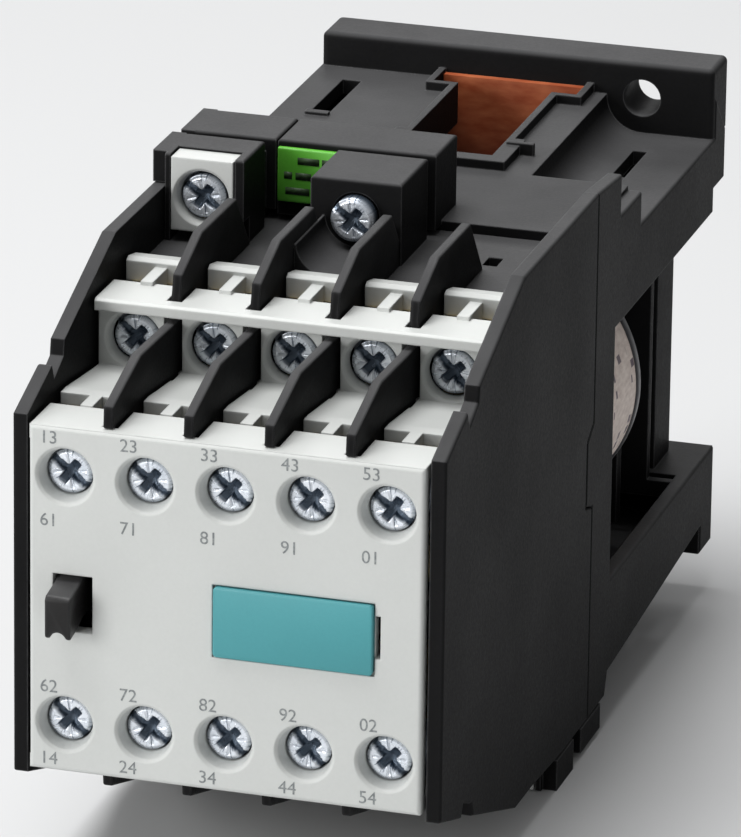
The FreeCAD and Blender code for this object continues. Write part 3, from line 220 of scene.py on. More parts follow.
def buildEdgeMask():
    # A rounded normal, and a mask of how far it leans from the true one: 1 on an edge, 0 on a flat.
    group, start, end = newGroup("edgeMask", [("Radius", "NodeSocketFloat", 0.00035),
                                              ("Gain", "NodeSocketFloat", 4.0)],
                                 [("Mask", "NodeSocketFloat"), ("Normal", "NodeSocketVector")])
    soft = addNode(group, "ShaderNodeBevel", {"Radius": start.outputs["Radius"]}, samples=6)
    true = addNode(group, "ShaderNodeNewGeometry").outputs["True Normal"]
    lean = addNode(group, "ShaderNodeVectorMath", {0: soft.outputs["Normal"], 1: true},
                   operation="DOT_PRODUCT")
    away = maths(group, "SUBTRACT", 1.0, lean.outputs["Value"])
    # The mask drives a painted edge highlight in the plastics; this noise breaks it into patches.
    edgeBreakup = addNode(group, "ShaderNodeTexNoise", {
        "Vector": addNode(group, "ShaderNodeTexCoord").outputs["Object"], "Scale": 420.0, "Detail": 3.0})
    patch = spanned(group, edgeBreakup.outputs["Fac"], 0.35, 0.65, 0.55, 1.0)
    mask = maths(group, "MULTIPLY", maths(group, "MULTIPLY", away, start.outputs["Gain"], clamp=True), patch)
    group.links.new(mask, end.inputs["Mask"])
    group.links.new(soft.outputs["Normal"], end.inputs["Normal"])
    return group


def buildMetalGrain():
    # Plated or rolled metal: fine streaks in the gloss, small stains in the tone.
    group, start, end = newGroup("metalGrain", [
        ("Colour", "NodeSocketColor", (0.5, 0.5, 0.5, 1)), ("Stain", "NodeSocketColor", (0.3, 0.3, 0.3, 1)),
        ("Roughness", "NodeSocketFloat", 0.3), ("Streak Scale", "NodeSocketFloat", 900.0)],
        [("Colour", "NodeSocketColor"), ("Roughness", "NodeSocketFloat"), ("Normal", "NodeSocketVector")])
    place = addNode(group, "ShaderNodeTexCoord").outputs["Object"]
    spread = addNode(group, "ShaderNodeMapping", {"Vector": place, "Scale": (1.0, 0.08, 1.0)})
    streak = addNode(group, "ShaderNodeTexNoise", {
        "Vector": spread.outputs[0], "Scale": start.outputs["Streak Scale"], "Detail": 4.0})
    stain = addNode(group, "ShaderNodeTexNoise", {"Vector": place, "Scale": 260.0, "Detail": 5.0})
    patch = spanned(group, stain.outputs["Fac"], 0.45, 0.75, 0.0, 0.55)
    tint = mixColour(group, patch, start.outputs["Colour"], start.outputs["Stain"])
    gloss = spanned(group, streak.outputs["Fac"], 0.3, 0.7, -0.1, 0.1)
    rough = maths(group, "ADD", gloss, maths(group, "ADD", start.outputs["Roughness"],
                                             maths(group, "MULTIPLY", patch, 0.25)), clamp=True)
    bump = addNode(group, "ShaderNodeBump", {"Strength": 0.25, "Distance": 0.00003,
                                             "Height": streak.outputs["Fac"]})
    group.links.new(tint, end.inputs["Colour"])
    group.links.new(rough, end.inputs["Roughness"])
    group.links.new(bump.outputs["Normal"], end.inputs["Normal"])
    return group


def buildPaintedTopSheen():
    # Painted sheen, not dust: a lighter grey painted where a surface faces up, thinner in patches, so top
    # faces read lighter as if lit from above.
    group, start, end = newGroup("paintedTopSheen", [("Normal", "NodeSocketVector", (0.0, 0.0, 0.0)),
                                             ("Amount", "NodeSocketFloat", 0.5)],
                                 [("Mask", "NodeSocketFloat")])
    place = addNode(group, "ShaderNodeTexCoord").outputs["Object"]
    upward = addNode(group, "ShaderNodeSeparateXYZ", {0: start.outputs["Normal"]}).outputs["Z"]
    facingUp = spanned(group, upward, 0.30, 0.98, 0.0, 1.0)
    patchy = addNode(group, "ShaderNodeTexNoise", {"Vector": place, "Scale": 90.0, "Detail": 5.0})
    patch = spanned(group, patchy.outputs["Fac"], 0.3, 0.7, 0.75, 1.0)
    mask = maths(group, "MULTIPLY", maths(group, "MULTIPLY", facingUp, patch), start.outputs["Amount"],
                 clamp=True)
    group.links.new(mask, end.inputs["Mask"])
    return group


mouldGrain = buildMouldGrain()
paintedTopSheen = buildPaintedTopSheen()
edgeMask = buildEdgeMask()
metalGrain = buildMetalGrain()


def newMaterial(name):
    material = bpy.data.materials.new(name)
    material.use_nodes = True
    return material, material.node_tree, material.node_tree.nodes["Principled BSDF"]


def placedGroup(tree, group, **inputs):
    node = tree.nodes.new("ShaderNodeGroup")
    node.node_tree = group
    for key, value in inputs.items():
        label = key.replace("_", " ")
        if isinstance(value, bpy.types.NodeSocket):
            tree.links.new(value, node.inputs[label])
        else:
            node.inputs[label].default_value = value
    return node


# Painted sheen: the lighter grey laid on up-facing faces of the dark plastics, standing in for light from
# above.
topSheenColour = (0.125, 0.125, 0.128)
plastics = {  # colour, painted edge highlight colour, edge mask's gain, clouding, grain height, roughness, specular, painted top sheen
    "greyPlastic": ((0.560, 0.575, 0.560), (0.72, 0.735, 0.72), 1.5, 0.035, 0.10, 0.45, 0.40, 0.0),
    "blackPlastic": ((0.0110, 0.0110, 0.0114), (0.170, 0.171, 0.175), 2.6, 0.16, 0.22, 0.50, 0.025, 0.55),
    "tealPlastic": ((0.064, 0.292, 0.320), (0.17, 0.45, 0.48), 1.5, 0.05, 0.10, 0.42, 0.35, 0.0),
    "greenPlastic": ((0.125, 0.500, 0.045), (0.20, 0.55, 0.10), 1.5, 0.08, 0.12, 0.40, 0.45, 0.0),
    "darkPlastic": ((0.014, 0.0135, 0.0135), (0.22, 0.22, 0.23), 2.0, 0.14, 0.15, 0.40, 0.20, 0.40),
    "bobbinPlastic": ((0.030, 0.030, 0.034), (0.10, 0.10, 0.11), 2.0, 0.15, 0.15, 0.40, 0.50, 0.20),
    "latchPlastic": ((0.026, 0.026, 0.027), (0.11, 0.11, 0.115), 2.0, 0.15, 0.20, 0.42, 0.50, 0.30),
    "damperRubber": ((0.018, 0.018, 0.018), (0.05, 0.05, 0.05), 1.5, 0.20, 0.35, 0.75, 0.30, 0.30),
}
metals = {  # colour, stain, roughness
    "contactBrass": ((0.78, 0.60, 0.30), (0.42, 0.27, 0.12), 0.30),
    "springSteel": ((0.56, 0.57, 0.60), (0.28, 0.27, 0.27), 0.28),
    "coreIron": ((0.30, 0.30, 0.31), (0.14, 0.12, 0.11), 0.42),
    "pinSteel": ((0.62, 0.62, 0.63), (0.35, 0.34, 0.33), 0.22),
    "washerZinc": ((0.56, 0.62, 0.70), (0.30, 0.33, 0.38), 0.34),
}


def plasticMaterial(name, colour, edgeHighlight, gain, clouding, grain, rough, specular, sheenAmount):
    material, tree, shader = newMaterial(name)
    edge = placedGroup(tree, edgeMask, Gain=gain)
    base = placedGroup(tree, mouldGrain, Colour=(*colour, 1), Clouding=clouding, Grain_Height=grain,
                       Roughness=rough, Normal=edge.outputs["Normal"])
    # Painted sheen: up-facing faces turn a lighter grey, as if lit from above.
    sheen = placedGroup(tree, paintedTopSheen, Normal=edge.outputs["Normal"], Amount=sheenAmount)
    sheened = mixColour(tree, sheen.outputs["Mask"], base.outputs["Colour"], (*topSheenColour, 1))
    # Painted highlight: edges take a lighter colour, standing in for light caught by rounded edges.
    tint = mixColour(tree, edge.outputs["Mask"], sheened, (*edgeHighlight, 1))
    tree.links.new(tint, shader.inputs["Base Color"])
    tree.links.new(base.outputs["Roughness"], shader.inputs["Roughness"])
    tree.links.new(base.outputs["Normal"], shader.inputs["Normal"])
    shader.inputs["Specular IOR Level"].default_value = specular
    return material


def metalMaterial(name, colour, stain, rough):
    material, tree, shader = newMaterial(name)
    grain = placedGroup(tree, metalGrain, Colour=(*colour, 1), Stain=(*stain, 1), Roughness=rough)
    for source, target in (("Colour", "Base Color"), ("Roughness", "Roughness"), ("Normal", "Normal")):
        tree.links.new(grain.outputs[source], shader.inputs[target])
    shader.inputs["Metallic"].default_value = 1.0
    return material


def screwMaterial():
    # Blue-passivated zinc; the turning marks follow the head's UV: angle across, radius up.
    material, tree, shader = newMaterial("screwZinc")
    turned = addNode(tree, "ShaderNodeUVMap", uv_map="turned").outputs[0]
    rays = addNode(tree, "ShaderNodeMapping", {"Vector": turned, "Scale": (46.0, 1.2, 1.0)})
    rings = addNode(tree, "ShaderNodeMapping", {"Vector": turned, "Scale": (1.5, 34.0, 1.0)})
    rayMarks = addNode(tree, "ShaderNodeTexNoise", {
        "Vector": rays.outputs[0], "Scale": 1.0, "Detail": 3.0})
    ringMarks = addNode(tree, "ShaderNodeTexNoise", {
        "Vector": rings.outputs[0], "Scale": 1.0, "Detail": 3.0})
    grain = placedGroup(tree, metalGrain, Colour=(0.80, 0.84, 0.90, 1), Stain=(0.40, 0.47, 0.56, 1),
                        Roughness=0.22)
    dark = spanned(tree, rayMarks.outputs["Fac"], 0.55, 0.64, 0.0, 0.85)
    scored = mixColour(tree, dark, grain.outputs["Colour"], (0.07, 0.10, 0.15, 1))
    pressed = addNode(tree, "ShaderNodeAttribute", attribute_name="pressed").outputs["Fac"]
    # Painted shade: the slot, cross and ticks darken with their depth, and the head's side and shank are
    # dark all over.
    tint = mixColour(tree, spanned(tree, pressed, 0.12, 0.7, 0.0, 0.92), scored, (0.035, 0.060, 0.095, 1))
    height = maths(tree, "ADD", maths(tree, "MULTIPLY", rayMarks.outputs["Fac"], 1.4),
                   ringMarks.outputs["Fac"])
    bump = addNode(tree, "ShaderNodeBump", {"Strength": 0.6, "Distance": 0.00006, "Height": height,
                                            "Normal": grain.outputs["Normal"]})
    tree.links.new(tint, shader.inputs["Base Color"])
    tree.links.new(grain.outputs["Roughness"], shader.inputs["Roughness"])
    tree.links.new(bump.outputs["Normal"], shader.inputs["Normal"])
    shader.inputs["Metallic"].default_value = 0.55
    return material


def phenolicMaterial():
    # Resin board: a rust orange with fibres along x, darker towards its lower edge.
    material, tree, shader = newMaterial("phenolicBoard")
    place = addNode(tree, "ShaderNodeTexCoord").outputs["Object"]
    along = addNode(tree, "ShaderNodeMapping", {"Vector": place, "Scale": (0.35, 1.0, 1.0)})
    fibre = addNode(tree, "ShaderNodeTexNoise", {"Vector": along.outputs[0], "Scale": 900.0, "Detail": 5.0})
    cloud = addNode(tree, "ShaderNodeTexNoise", {"Vector": place, "Scale": 160.0, "Detail": 4.0})
    rise = addNode(tree, "ShaderNodeSeparateXYZ", {0: place}).outputs["Z"]
    shadow = spanned(tree, rise, 0.019, 0.030, 0.75, 0.0)
    tone = spanned(tree, fibre.outputs["Fac"], 0.3, 0.7, 0.0, 1.0)
    warm = mixColour(tree, tone, (0.34, 0.065, 0.021, 1), (0.52, 0.145, 0.052, 1))
    mottled = mixColour(tree, spanned(tree, cloud.outputs["Fac"], 0.4, 0.7, 0.0, 0.5), warm,
                        (0.22, 0.040, 0.014, 1))
    tint = mixColour(tree, shadow, mottled, (0.085, 0.018, 0.010, 1))
    bump = addNode(tree, "ShaderNodeBump", {
        "Strength": 0.4, "Distance": 0.00005, "Height": fibre.outputs["Fac"]})
    tree.links.new(tint, shader.inputs["Base Color"])
    tree.links.new(spanned(tree, fibre.outputs["Fac"], 0.3, 0.7, 0.42, 0.60), shader.inputs["Roughness"])
    tree.links.new(bump.outputs["Normal"], shader.inputs["Normal"])
    return material


def coilPaperMaterial():
    # Paper wrapped round the coil: fine fibres and plain printed dashes.
    material, tree, shader = newMaterial("coilPaper")
    place = addNode(tree, "ShaderNodeTexCoord").outputs["Object"]
    along = addNode(tree, "ShaderNodeMapping", {"Vector": place, "Scale": (1.0, 0.4, 1.0)})
    fibre = addNode(tree, "ShaderNodeTexNoise", {"Vector": along.outputs[0], "Scale": 1500.0, "Detail": 6.0})
    tone = spanned(tree, fibre.outputs["Fac"], 0.3, 0.7, 0.0, 1.0)
    paper = mixColour(tree, tone, (0.56, 0.46, 0.41, 1), (0.76, 0.67, 0.61, 1))
    dashes = addNode(tree, "ShaderNodeMapping", {"Vector": place, "Scale": (0.0, 330.0, 420.0),
                                                 "Location": (0.0, 0.2, 0.1)})
    blocks = addNode(tree, "ShaderNodeTexVoronoi", {"Vector": dashes.outputs[0], "Scale": 1.0},
                     distance="CHEBYCHEV")
    ink = spanned(tree, blocks.outputs["Distance"], 0.24, 0.20, 0.0, 1.0)
    bands = addNode(tree, "ShaderNodeTexWave", {"Vector": place, "Scale": 70.0, "Distortion": 0.0},
                    bands_direction="Y")
    mask = maths(tree, "MULTIPLY", ink, spanned(tree, bands.outputs["Fac"], 0.5, 0.6, 0.0, 0.9))
    tint = mixColour(tree, mask, paper, (0.055, 0.030, 0.060, 1))
    bump = addNode(tree, "ShaderNodeBump", {
        "Strength": 0.5, "Distance": 0.00004, "Height": fibre.outputs["Fac"]})
    tree.links.new(tint, shader.inputs["Base Color"])
    tree.links.new(spanned(tree, fibre.outputs["Fac"], 0.3, 0.7, 0.55, 0.75), shader.inputs["Roughness"])
    tree.links.new(bump.outputs["Normal"], shader.inputs["Normal"])
    return material


def windingMaterial():
    # Enamelled wire in close turns: a fine wave along the depth.
    material, tree, shader = newMaterial("windingCopper")
    place = addNode(tree, "ShaderNodeTexCoord").outputs["Object"]
    turns = addNode(tree, "ShaderNodeTexWave", {"Vector": place, "Scale": 1400.0, "Distortion": 1.2,
                                                "Detail": 2.0}, bands_direction="Y")
    tint = mixColour(tree, turns.outputs["Fac"], (0.16, 0.055, 0.025, 1), (0.56, 0.25, 0.11, 1))
    bump = addNode(tree, "ShaderNodeBump", {
        "Strength": 0.8, "Distance": 0.0001, "Height": turns.outputs["Fac"]})
    tree.links.new(tint, shader.inputs["Base Color"])
    tree.links.new(spanned(tree, turns.outputs["Fac"], 0.0, 1.0, 0.45, 0.28), shader.inputs["Roughness"])
    tree.links.new(bump.outputs["Normal"], shader.inputs["Normal"])
    return material


def inkMaterial(name, dark, light):
    # Pad-printed ink, a little starved in places.
    material, tree, shader = newMaterial(name)
    place = addNode(tree, "ShaderNodeTexCoord").outputs["Object"]
    starve = addNode(tree, "ShaderNodeTexNoise", {"Vector": place, "Scale": 2200.0, "Detail": 3.0})
    tint = mixColour(tree, spanned(tree, starve.outputs["Fac"], 0.4, 0.7, 0.0, 1.0), (*dark, 1), (*light, 1))
    tree.links.new(tint, shader.inputs["Base Color"])
    tree.links.new(spanned(tree, starve.outputs["Fac"], 0.3, 0.7, 0.5, 0.65), shader.inputs["Roughness"])
    return material


materials = {name: plasticMaterial(name, *values) for name, values in plastics.items()}
materials.update({name: metalMaterial(name, *values) for name, values in metals.items()})
materials["screwZinc"] = screwMaterial()
materials["phenolicBoard"] = phenolicMaterial()
materials["coilPaper"] = coilPaperMaterial()
materials["windingCopper"] = windingMaterial()
materials["greyInk"] = inkMaterial("greyInk", (0.16, 0.175, 0.18), (0.30, 0.32, 0.32))
materials["darkInk"] = inkMaterial("darkInk", (0.012, 0.030, 0.008), (0.03, 0.07, 0.02))
print("materials ready:", len(materials))


kept = {
    "clamp_washers_front": "washerZinc", "clamp_washers_rear": "washerZinc",
    "coil_clamp_washers": "washerZinc",
    "fixed_contacts_front": "contactBrass", "fixed_contacts_rear": "contactBrass",
    "coil_terminal_bars": "contactBrass", "moving_bridges_nc": "contactBrass",
    "moving_bridges_no": "contactBrass", "contact_springs_nc": "springSteel",
    "contact_springs_no": "springSteel", "coil_winding": "windingCopper", "coil_label": "coilPaper",
    "insulating_plate": "phenolicBoard", "fixed_core": "coreIron", "armature": "coreIron",
    "core_damper": "damperRubber", "armature_pin": "pinSteel", "contact_carrier": "darkPlastic",
    "front_cover": "greyPlastic",
    "upper_terminal_cover": "greyPlastic", "lower_terminal_cover": "greyPlastic",
    "front_housing": "blackPlastic", "rear_housing": "blackPlastic",
    "coil_terminal_cover_upper": "greyPlastic", "coil_terminal_cover_lower": "greyPlastic",
    "coil_terminal_block_upper": "blackPlastic", "coil_terminal_block_lower": "blackPlastic",
}
for name, finish in kept.items():
    node = cadNodes[name]
    if not node.material_slots:
        node.data.materials.append(None)
    for slot in node.material_slots:
        slot.material = materials[finish]


moulded = {  # CAD node: (piece, body, record slot, material, edge width in mm)
    "fin_walls_upper": ("finWallsUpper", "case", "black_plastic", "blackPlastic", 0.22),
    "fin_walls_lower": ("finWallsLower", "case", "black_plastic", "blackPlastic", 0.22),
    "marking_plate": ("markingPlate", "case", "teal_plastic", "tealPlastic", 0.15),
    "rating_label": ("ratingLabel", "case", "green_plastic", "greenPlastic", 0.15),
    "position_indicator": ("positionIndicator", "contact_carriage", "dark_plastic", "darkPlastic", 0.20),
    "coil_bobbin": ("coilBobbin", "case", "bobbin_plastic", "bobbinPlastic", 0.20),
    "rail_latch": ("railLatch", "rail_latch", "latch_plastic", "latchPlastic", 0.25),
}
edgeRules = {"weld": 2e-6, "flatDegrees": 0.6, "sharpDegrees": 32.0, "segments": 2}


def edgedCopy(node, piece, body, recordSlot, finish, width):
    mesh = cadNodes[node].data.copy()
    mesh.name = piece
    shape = bmesh.new()
    shape.from_mesh(mesh)
    bmesh.ops.remove_doubles(shape, verts=shape.verts, dist=edgeRules["weld"])
    bmesh.ops.dissolve_limit(shape, angle_limit=math.radians(edgeRules["flatDegrees"]),
                             verts=shape.verts, edges=shape.edges)
    for face in shape.faces:
        face.smooth = True
    shape.to_mesh(mesh)
    shape.free()
    mesh.materials.clear()
    mesh.materials.append(materials[finish])
    copy = bpy.data.objects.new(piece, mesh)
    bpy.context.scene.collection.objects.link(copy)
    edges = copy.modifiers.new("edges", "BEVEL")
    edges.width = width * mm
    edges.segments = edgeRules["segments"]
    edges.limit_method = "ANGLE"
    edges.angle_limit = math.radians(edgeRules["sharpDegrees"])
    edges.use_clamp_overlap = False
    edges.harden_normals = True
    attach(copy, body)
    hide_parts(node)
    return copy


for node, values in moulded.items():
    edgedCopy(node, *values)
print("moulded pieces ready:", len(moulded))


def gridFaces(rows, columns):
    # Quads of a rows x columns grid whose last column joins the first.
    row, column = np.meshgrid(np.arange(rows - 1), np.arange(columns), indexing="ij")
    after = (column + 1) % columns
    corners = np.stack([row * columns + column, row * columns + after,
                        (row + 1) * columns + after, (row + 1) * columns + column], axis=-1)
    return corners.reshape(-1, 4)


def capFaces(centre, ring, inwards):
    # Triangles from a pole to a closed ring.
    after = np.roll(ring, -1)
    middle = np.full(len(ring), centre)
    return np.stack([middle, after, ring] if inwards else [middle, ring, after], axis=-1)


def makeMesh(name, points, quads, triangles, uv=None):
    mesh = bpy.data.meshes.new(name)
    loops = np.concatenate([quads.ravel(), triangles.ravel()]).astype(np.int32)
    sizes = np.concatenate([np.full(len(quads), 4), np.full(len(triangles), 3)]).astype(np.int32)
    mesh.vertices.add(len(points))
    mesh.vertices.foreach_set("co", points.astype(np.float32).ravel())
    mesh.loops.add(len(loops))
    mesh.loops.foreach_set("vertex_index", loops)
    mesh.polygons.add(len(sizes))
    mesh.polygons.foreach_set("loop_start", np.concatenate([[0], np.cumsum(sizes)[:-1]]).astype(np.int32))
    mesh.polygons.foreach_set("use_smooth", np.ones(len(sizes), bool))
    mesh.update(calc_edges=True)
    if uv is not None:
        layer = mesh.uv_layers.new(name="turned")
        layer.data.foreach_set("uv", uv[loops].astype(np.float32).ravel())
    mesh.validate()
    return mesh


def addPiece(name, mesh, finish, body, replaced=()):
    mesh.materials.append(materials[finish])
    piece = bpy.data.objects.new(name, mesh)
    bpy.context.scene.collection.objects.link(piece)
    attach(piece, body)
    if replaced:
        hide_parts(*replaced)
    return piece


def eased(value):
    # 0 below 0, 1 above 1 and a smooth step between.
    held = np.clip(value, 0, 1)
    return held * held * (3 - 2 * held)


screwSet = {
    "headRadius": 2.82, "headThick": 2.6, "crown": 0.32, "crownWide": 0.55,
    "slotHalf": 0.46, "slotDepth": 0.9, "crossHalf": 0.56, "crossReach": 1.80, "crossDepth": 1.7,
    "tickHalf": 0.07, "tickReach": 2.25, "tickDepth": 0.26, "wallSlope": 0.13,
    "shankRadius": 1.72, "thread": 0.14, "threadPitch": 0.75,
    "rimRound": 0.15, "neck": 0.2, "runOut": 0.5, "tipTaper": 0.55, "pitchSteps": 4,
    "around": 88, "faceRings": 46, "leanDegrees": 42.0, "leanSpread": 9.0,
    "terminalLength": 13.0, "housingLength": 22.0,
}


def headDepth(settings, radius, angle, lean):
    # Depth below the face: the crown's fall at the rim, or the deepest of slot, cross and ticks.
    along, aside = radius * np.cos(angle - lean), radius * np.sin(angle - lean)
    slope = settings["wallSlope"]
    slot = settings["slotDepth"] * eased((settings["slotHalf"] - abs(aside)) / slope + 0.5)
    reach = np.clip(1 - radius / settings["crossReach"], 0, 1) ** 0.5 * settings["crossDepth"]
    armOne = eased((settings["crossHalf"] - abs(aside)) / slope + 0.5)
    armTwo = eased((settings["crossHalf"] - abs(along)) / slope + 0.5)
    cross = reach * np.maximum(armOne, armTwo)
    diagonal = np.minimum(abs(along - aside), abs(along + aside)) / math.sqrt(2)
    tick = settings["tickDepth"] * eased((settings["tickHalf"] - diagonal) / slope + 0.5)
    tick = tick * eased((settings["tickReach"] - radius) / slope)
    fall = settings["crown"] * eased((radius - settings["headRadius"] + settings["crownWide"])
                                     / settings["crownWide"]) ** 1.5
    return np.maximum.reduce([slot, cross, tick, np.zeros_like(radius)]) + fall


def screwSurface(settings, place, length, lean):
    # Face on a polar grid, then the head's side, its underside and a threaded shank, as rings.
    around = settings["around"]
    angle = np.linspace(0, 2 * math.pi, around, endpoint=False)
    faceRadius = np.linspace(0, 1, settings["faceRings"])[1:] * settings["headRadius"]
    radius, turn = np.meshgrid(faceRadius, angle, indexing="ij")
    depth = headDepth(settings, radius, turn, lean)
    centreDepth = headDepth(settings, np.zeros(1), np.zeros(1), lean)[0]
    side = np.array([[settings["headRadius"], settings["headThick"] - settings["rimRound"]],
                     [settings["headRadius"] - settings["rimRound"], settings["headThick"]],
                     [settings["shankRadius"], settings["headThick"]]])
    steps = np.arange(settings["headThick"] + settings["neck"], length - settings["runOut"],
                      settings["threadPitch"] / settings["pitchSteps"])
    sideRadius = np.repeat(side[:, :1], around, axis=1)
    sideDepth = np.repeat(side[:, 1:], around, axis=1)
    wave = np.abs(((steps[:, None] / settings["threadPitch"] - angle / (2 * math.pi)) % 1) * 2 - 1)
    shankRadius = settings["shankRadius"] - settings["thread"] * wave
    shankDepth = np.repeat(steps[:, None], around, axis=1)
    tip = np.array([[settings["shankRadius"] - settings["tipTaper"], length]])
    radii = np.concatenate([radius, sideRadius, shankRadius, np.repeat(tip[:, :1], around, axis=1)])
    depths = np.concatenate([depth, sideDepth, shankDepth, np.repeat(tip[:, 1:], around, axis=1)])
    turns = np.broadcast_to(angle, radii.shape)
    points = np.stack([radii * np.cos(turns), depths, radii * np.sin(turns)], axis=-1).reshape(-1, 3)
    poles = np.array([[0, centreDepth, 0], [0, length, 0]])
    points = np.concatenate([points, poles]) * mm + np.array(place)
    rings = len(radii)
    quads = gridFaces(rings, around)
    first = capFaces(rings * around, np.arange(around), inwards=False)
    last = capFaces(rings * around + 1, np.arange((rings - 1) * around, rings * around), inwards=True)
    uv = np.stack([turns.ravel() / (2 * math.pi), radii.ravel() / settings["headRadius"]], axis=-1)
    uv = np.concatenate([uv, [[0.5, 0], [0.5, 0]]])
    pressed = np.ones(len(points))  # how far each point is pressed into the head; 1 off the face
    pressed[:radius.size] = np.clip(depth.ravel() / settings["slotDepth"], 0, 1)
    return points, quads, np.concatenate([first, last]), uv, pressed


def screwRow(name, places, length, replaced):
    # Several screws in one mesh, each left at its own angle.
    rng = np.random.default_rng(len(name))
    gathered = [[], [], [], [], []]
    count = 0
    for place in places:
        lean = math.radians(-screwSet["leanDegrees"] + rng.uniform(-1, 1) * screwSet["leanSpread"])
        points, quads, triangles, uv, pressed = screwSurface(screwSet, place, length, lean)
        for store, part in zip(gathered, (points, quads + count, triangles + count, uv, pressed)):
            store.append(part)
        count += len(points)
    *surface, pressed = [np.concatenate(part) for part in gathered]
    mesh = makeMesh(name, *surface)
    mesh.flip_normals()
    mesh.attributes.new("pressed", "FLOAT", "POINT").data.foreach_set("value", pressed.astype(np.float32))
    return addPiece(name, mesh, "screwZinc", "case", [replaced])


def columnPlaces(node):
    # Ten screw axes from the node's box: five columns, two rows.
    low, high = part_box(node)
    inset = screwSet["headRadius"] * mm
    return [(x, low.y, z) for z in (low.z + inset, high.z - inset)
            for x in np.linspace(low.x + inset, high.x - inset, 5)]


def screwPlaces(node, diagonal):
    low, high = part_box(node)
    inset = screwSet["headRadius"] * mm
    xs = (low.x + inset, high.x - inset) if diagonal else ((low.x + high.x) / 2,) * 2
    return [(xs[0], low.y, high.z - inset), (xs[1], low.y, low.z + inset)]


screwRow("terminalScrewsFront", columnPlaces("terminal_screws_front"),
         screwSet["terminalLength"], "terminal_screws_front")
screwRow("terminalScrewsRear", columnPlaces("terminal_screws_rear"),
         screwSet["terminalLength"], "terminal_screws_rear")
screwRow("coilScrews", screwPlaces("coil_terminal_screws", True),
         screwSet["terminalLength"], "coil_terminal_screws")
screwRow("housingScrews", screwPlaces("housing_screws", False),
         screwSet["housingLength"], "housing_screws")
print("screws ready")


springSet = {
    "return_spring_left": {"piece": "returnSpringLeft", "along": "y", "wire": 0.35, "turns": 6.5,
                           "joint": "carriage_slide", "axis": (0, 1, 0), "keep": 0.756},
    "return_spring_right": {"piece": "returnSpringRight", "along": "y", "wire": 0.35, "turns": 6.5,
                            "joint": "carriage_slide", "axis": (0, 1, 0), "keep": 0.756},
    "rail_latch_spring": {"piece": "railLatchSpring", "along": "z", "wire": 0.25, "turns": 5.5,
                          "joint": "latch_slide", "axis": (0, 0, 1), "keep": 0.55},
}


wireSet = {"turnSteps": 28, "sides": 12, "endClosing": 0.09}


def helixTube(low, high, along, wire, turns):
    # A round wire on a helix; the pitch closes up at both ends, as on a ground spring.
    index = "xyz".index(along)
    across = [axis for axis in range(3) if axis != index]
    middle = (np.array(low) + np.array(high)) / 2
    radius = min(high[across[0]] - low[across[0]], high[across[1]] - low[across[1]]) / 2 - wire
    share = np.linspace(0, 1, int(turns * wireSet["turnSteps"]))
    turn = share * turns * 2 * math.pi
    climb = share - wireSet["endClosing"] * np.sin(2 * math.pi * share)
    start, stop = low[index] + wire, high[index] - wire
    path = np.zeros((len(share), 3))
    path[:, across[0]] = middle[across[0]] + radius * np.cos(turn)
    path[:, across[1]] = middle[across[1]] + radius * np.sin(turn)
    path[:, index] = start + climb * (stop - start)
    forward = np.gradient(path, axis=0)
    forward /= np.linalg.norm(forward, axis=1, keepdims=True)
    outward = np.zeros_like(path)
    outward[:, across[0]] = np.cos(turn)
    outward[:, across[1]] = np.sin(turn)
    sideways = np.cross(forward, outward)
    sides = wireSet["sides"]
    ring = np.linspace(0, 2 * math.pi, sides, endpoint=False)
    skin = (path[:, None] + wire * (np.cos(ring)[None, :, None] * outward[:, None]
                                    + np.sin(ring)[None, :, None] * sideways[:, None]))
    points = np.concatenate([skin.reshape(-1, 3), path[:1], path[-1:]])
    rows = len(share)
    quads = gridFaces(rows, sides)[:, ::-1]
    first = capFaces(rows * sides, np.arange(sides), inwards=False)
    last = capFaces(rows * sides + 1, np.arange((rows - 1) * sides, rows * sides), inwards=True)
    return points, quads, np.concatenate([first, last])


for node, values in springSet.items():
    low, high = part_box(node)
    wireRadius = values["wire"] * mm
    points, quads, triangles = helixTube(low, high, values["along"], wireRadius, values["turns"])
    mesh = makeMesh(values["piece"], points, quads, triangles)
    shape = bmesh.new()
    shape.from_mesh(mesh)
    bmesh.ops.recalc_face_normals(shape, faces=shape.faces)
    shape.to_mesh(mesh)
    shape.free()
    spring = addPiece(values["piece"], mesh, "springSteel", "case", [node])
    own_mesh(spring)
print("springs ready")


printSet = {
    "height": 2.35, "thick": 0.03, "across": -2.1,  # font size, ink's thickness and shift from the screw
    "rows": {"upper": (4.1, -6.6), "lower": (4.0, -5.5)},  # baselines above and below the screws
    "tens": (1, 2, 3, 4, 5), "closedTens": (6, 7, 8, 9, 0),
}


def numeral(text, size, place):
    # A printed number as a thin flat mesh facing forwards, centred on a place.
    curve = bpy.data.curves.new("numeral", "FONT")
    curve.body = text
    curve.size = size * mm
    curve.extrude = printSet["thick"] / 2 * mm
    curve.align_x = "CENTER"
    curve.resolution_u = 4
    holder = bpy.data.objects.new("numeral", curve)
    bpy.context.scene.collection.objects.link(holder)
    bpy.context.view_layer.update()
    mesh = bpy.data.meshes.new_from_object(holder.evaluated_get(bpy.context.evaluated_depsgraph_get()))
    bpy.data.objects.remove(holder)
    mesh.transform(Matrix.Translation(place) @ Matrix.Rotation(math.radians(90), 4, "X"))
    return mesh


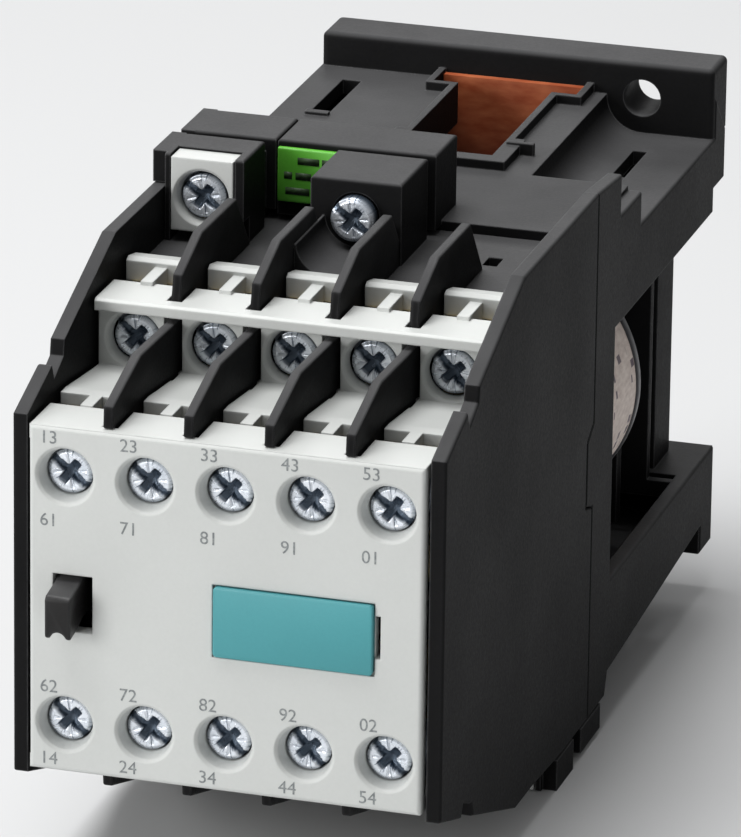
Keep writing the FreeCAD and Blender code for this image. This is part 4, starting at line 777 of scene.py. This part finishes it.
def joinedMesh(name, meshes):
    shape = bmesh.new()
    for mesh in meshes:
        shape.from_mesh(mesh)
    bmesh.ops.remove_doubles(shape, verts=shape.verts, dist=1e-7)
    joined = bpy.data.meshes.new(name)
    shape.to_mesh(joined)
    shape.free()
    return joined


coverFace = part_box("front_cover")[0].y - printSet["thick"] / 2 * mm
terminalSpots = columnPlaces("terminal_screws_front")
labels = []
for index, (x, _, z) in enumerate(terminalSpots):
    row = "upper" if index >= 5 else "lower"
    openTen, closedTen = printSet["tens"][index % 5], printSet["closedTens"][index % 5]
    texts = ("%d3" % openTen, "%d1" % closedTen) if row == "upper" else ("%d2" % closedTen, "%d4" % openTen)
    for text, baseline in zip(texts, printSet["rows"][row]):
        labels.append(numeral(text, printSet["height"],
                              (x + printSet["across"] * mm, coverFace, z + baseline * mm)))
addPiece("terminalNumbers", joinedMesh("terminalNumbers", labels), "greyInk", "case")


# Plain bars stand for the printing on the green label: each is (left, right) as shares of its width.
barSet = {"high": 0.95, "thick": 0.04, "top": 1.1, "spacing": 2.05,
          "bars": (((0.30, 0.62), (0.66, 0.84)),
                   ((0.10, 0.22), (0.27, 0.50), (0.55, 0.72)),
                   ((0.12, 0.48),))}


def plainBar(low, high):
    # A thin box between two corners, as eight points and six quads.
    corners = np.array([[x, y, z] for x in (low[0], high[0]) for y in (low[1], high[1])
                        for z in (low[2], high[2])])
    quads = np.array([[0, 1, 3, 2], [4, 6, 7, 5], [0, 4, 5, 1], [2, 3, 7, 6], [0, 2, 6, 4], [1, 5, 7, 3]])
    return makeMesh("bar", corners, quads, np.zeros((0, 3), int))


labelLow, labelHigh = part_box("rating_label")
labelBars = []
for line, spans in enumerate(barSet["bars"]):
    top = labelHigh.z - (barSet["top"] + line * barSet["spacing"]) * mm
    for left, right in spans:
        start = labelLow.x + left * (labelHigh.x - labelLow.x)
        stop = labelLow.x + right * (labelHigh.x - labelLow.x)
        labelBars.append(plainBar((start, labelLow.y - barSet["thick"] * mm, top - barSet["high"] * mm),
                                  (stop, labelLow.y, top)))
addPiece("labelBars", joinedMesh("labelBars", labelBars), "darkInk", "case")
print("printing ready")

print("cad box", [list(corner) for corner in cadBounds])
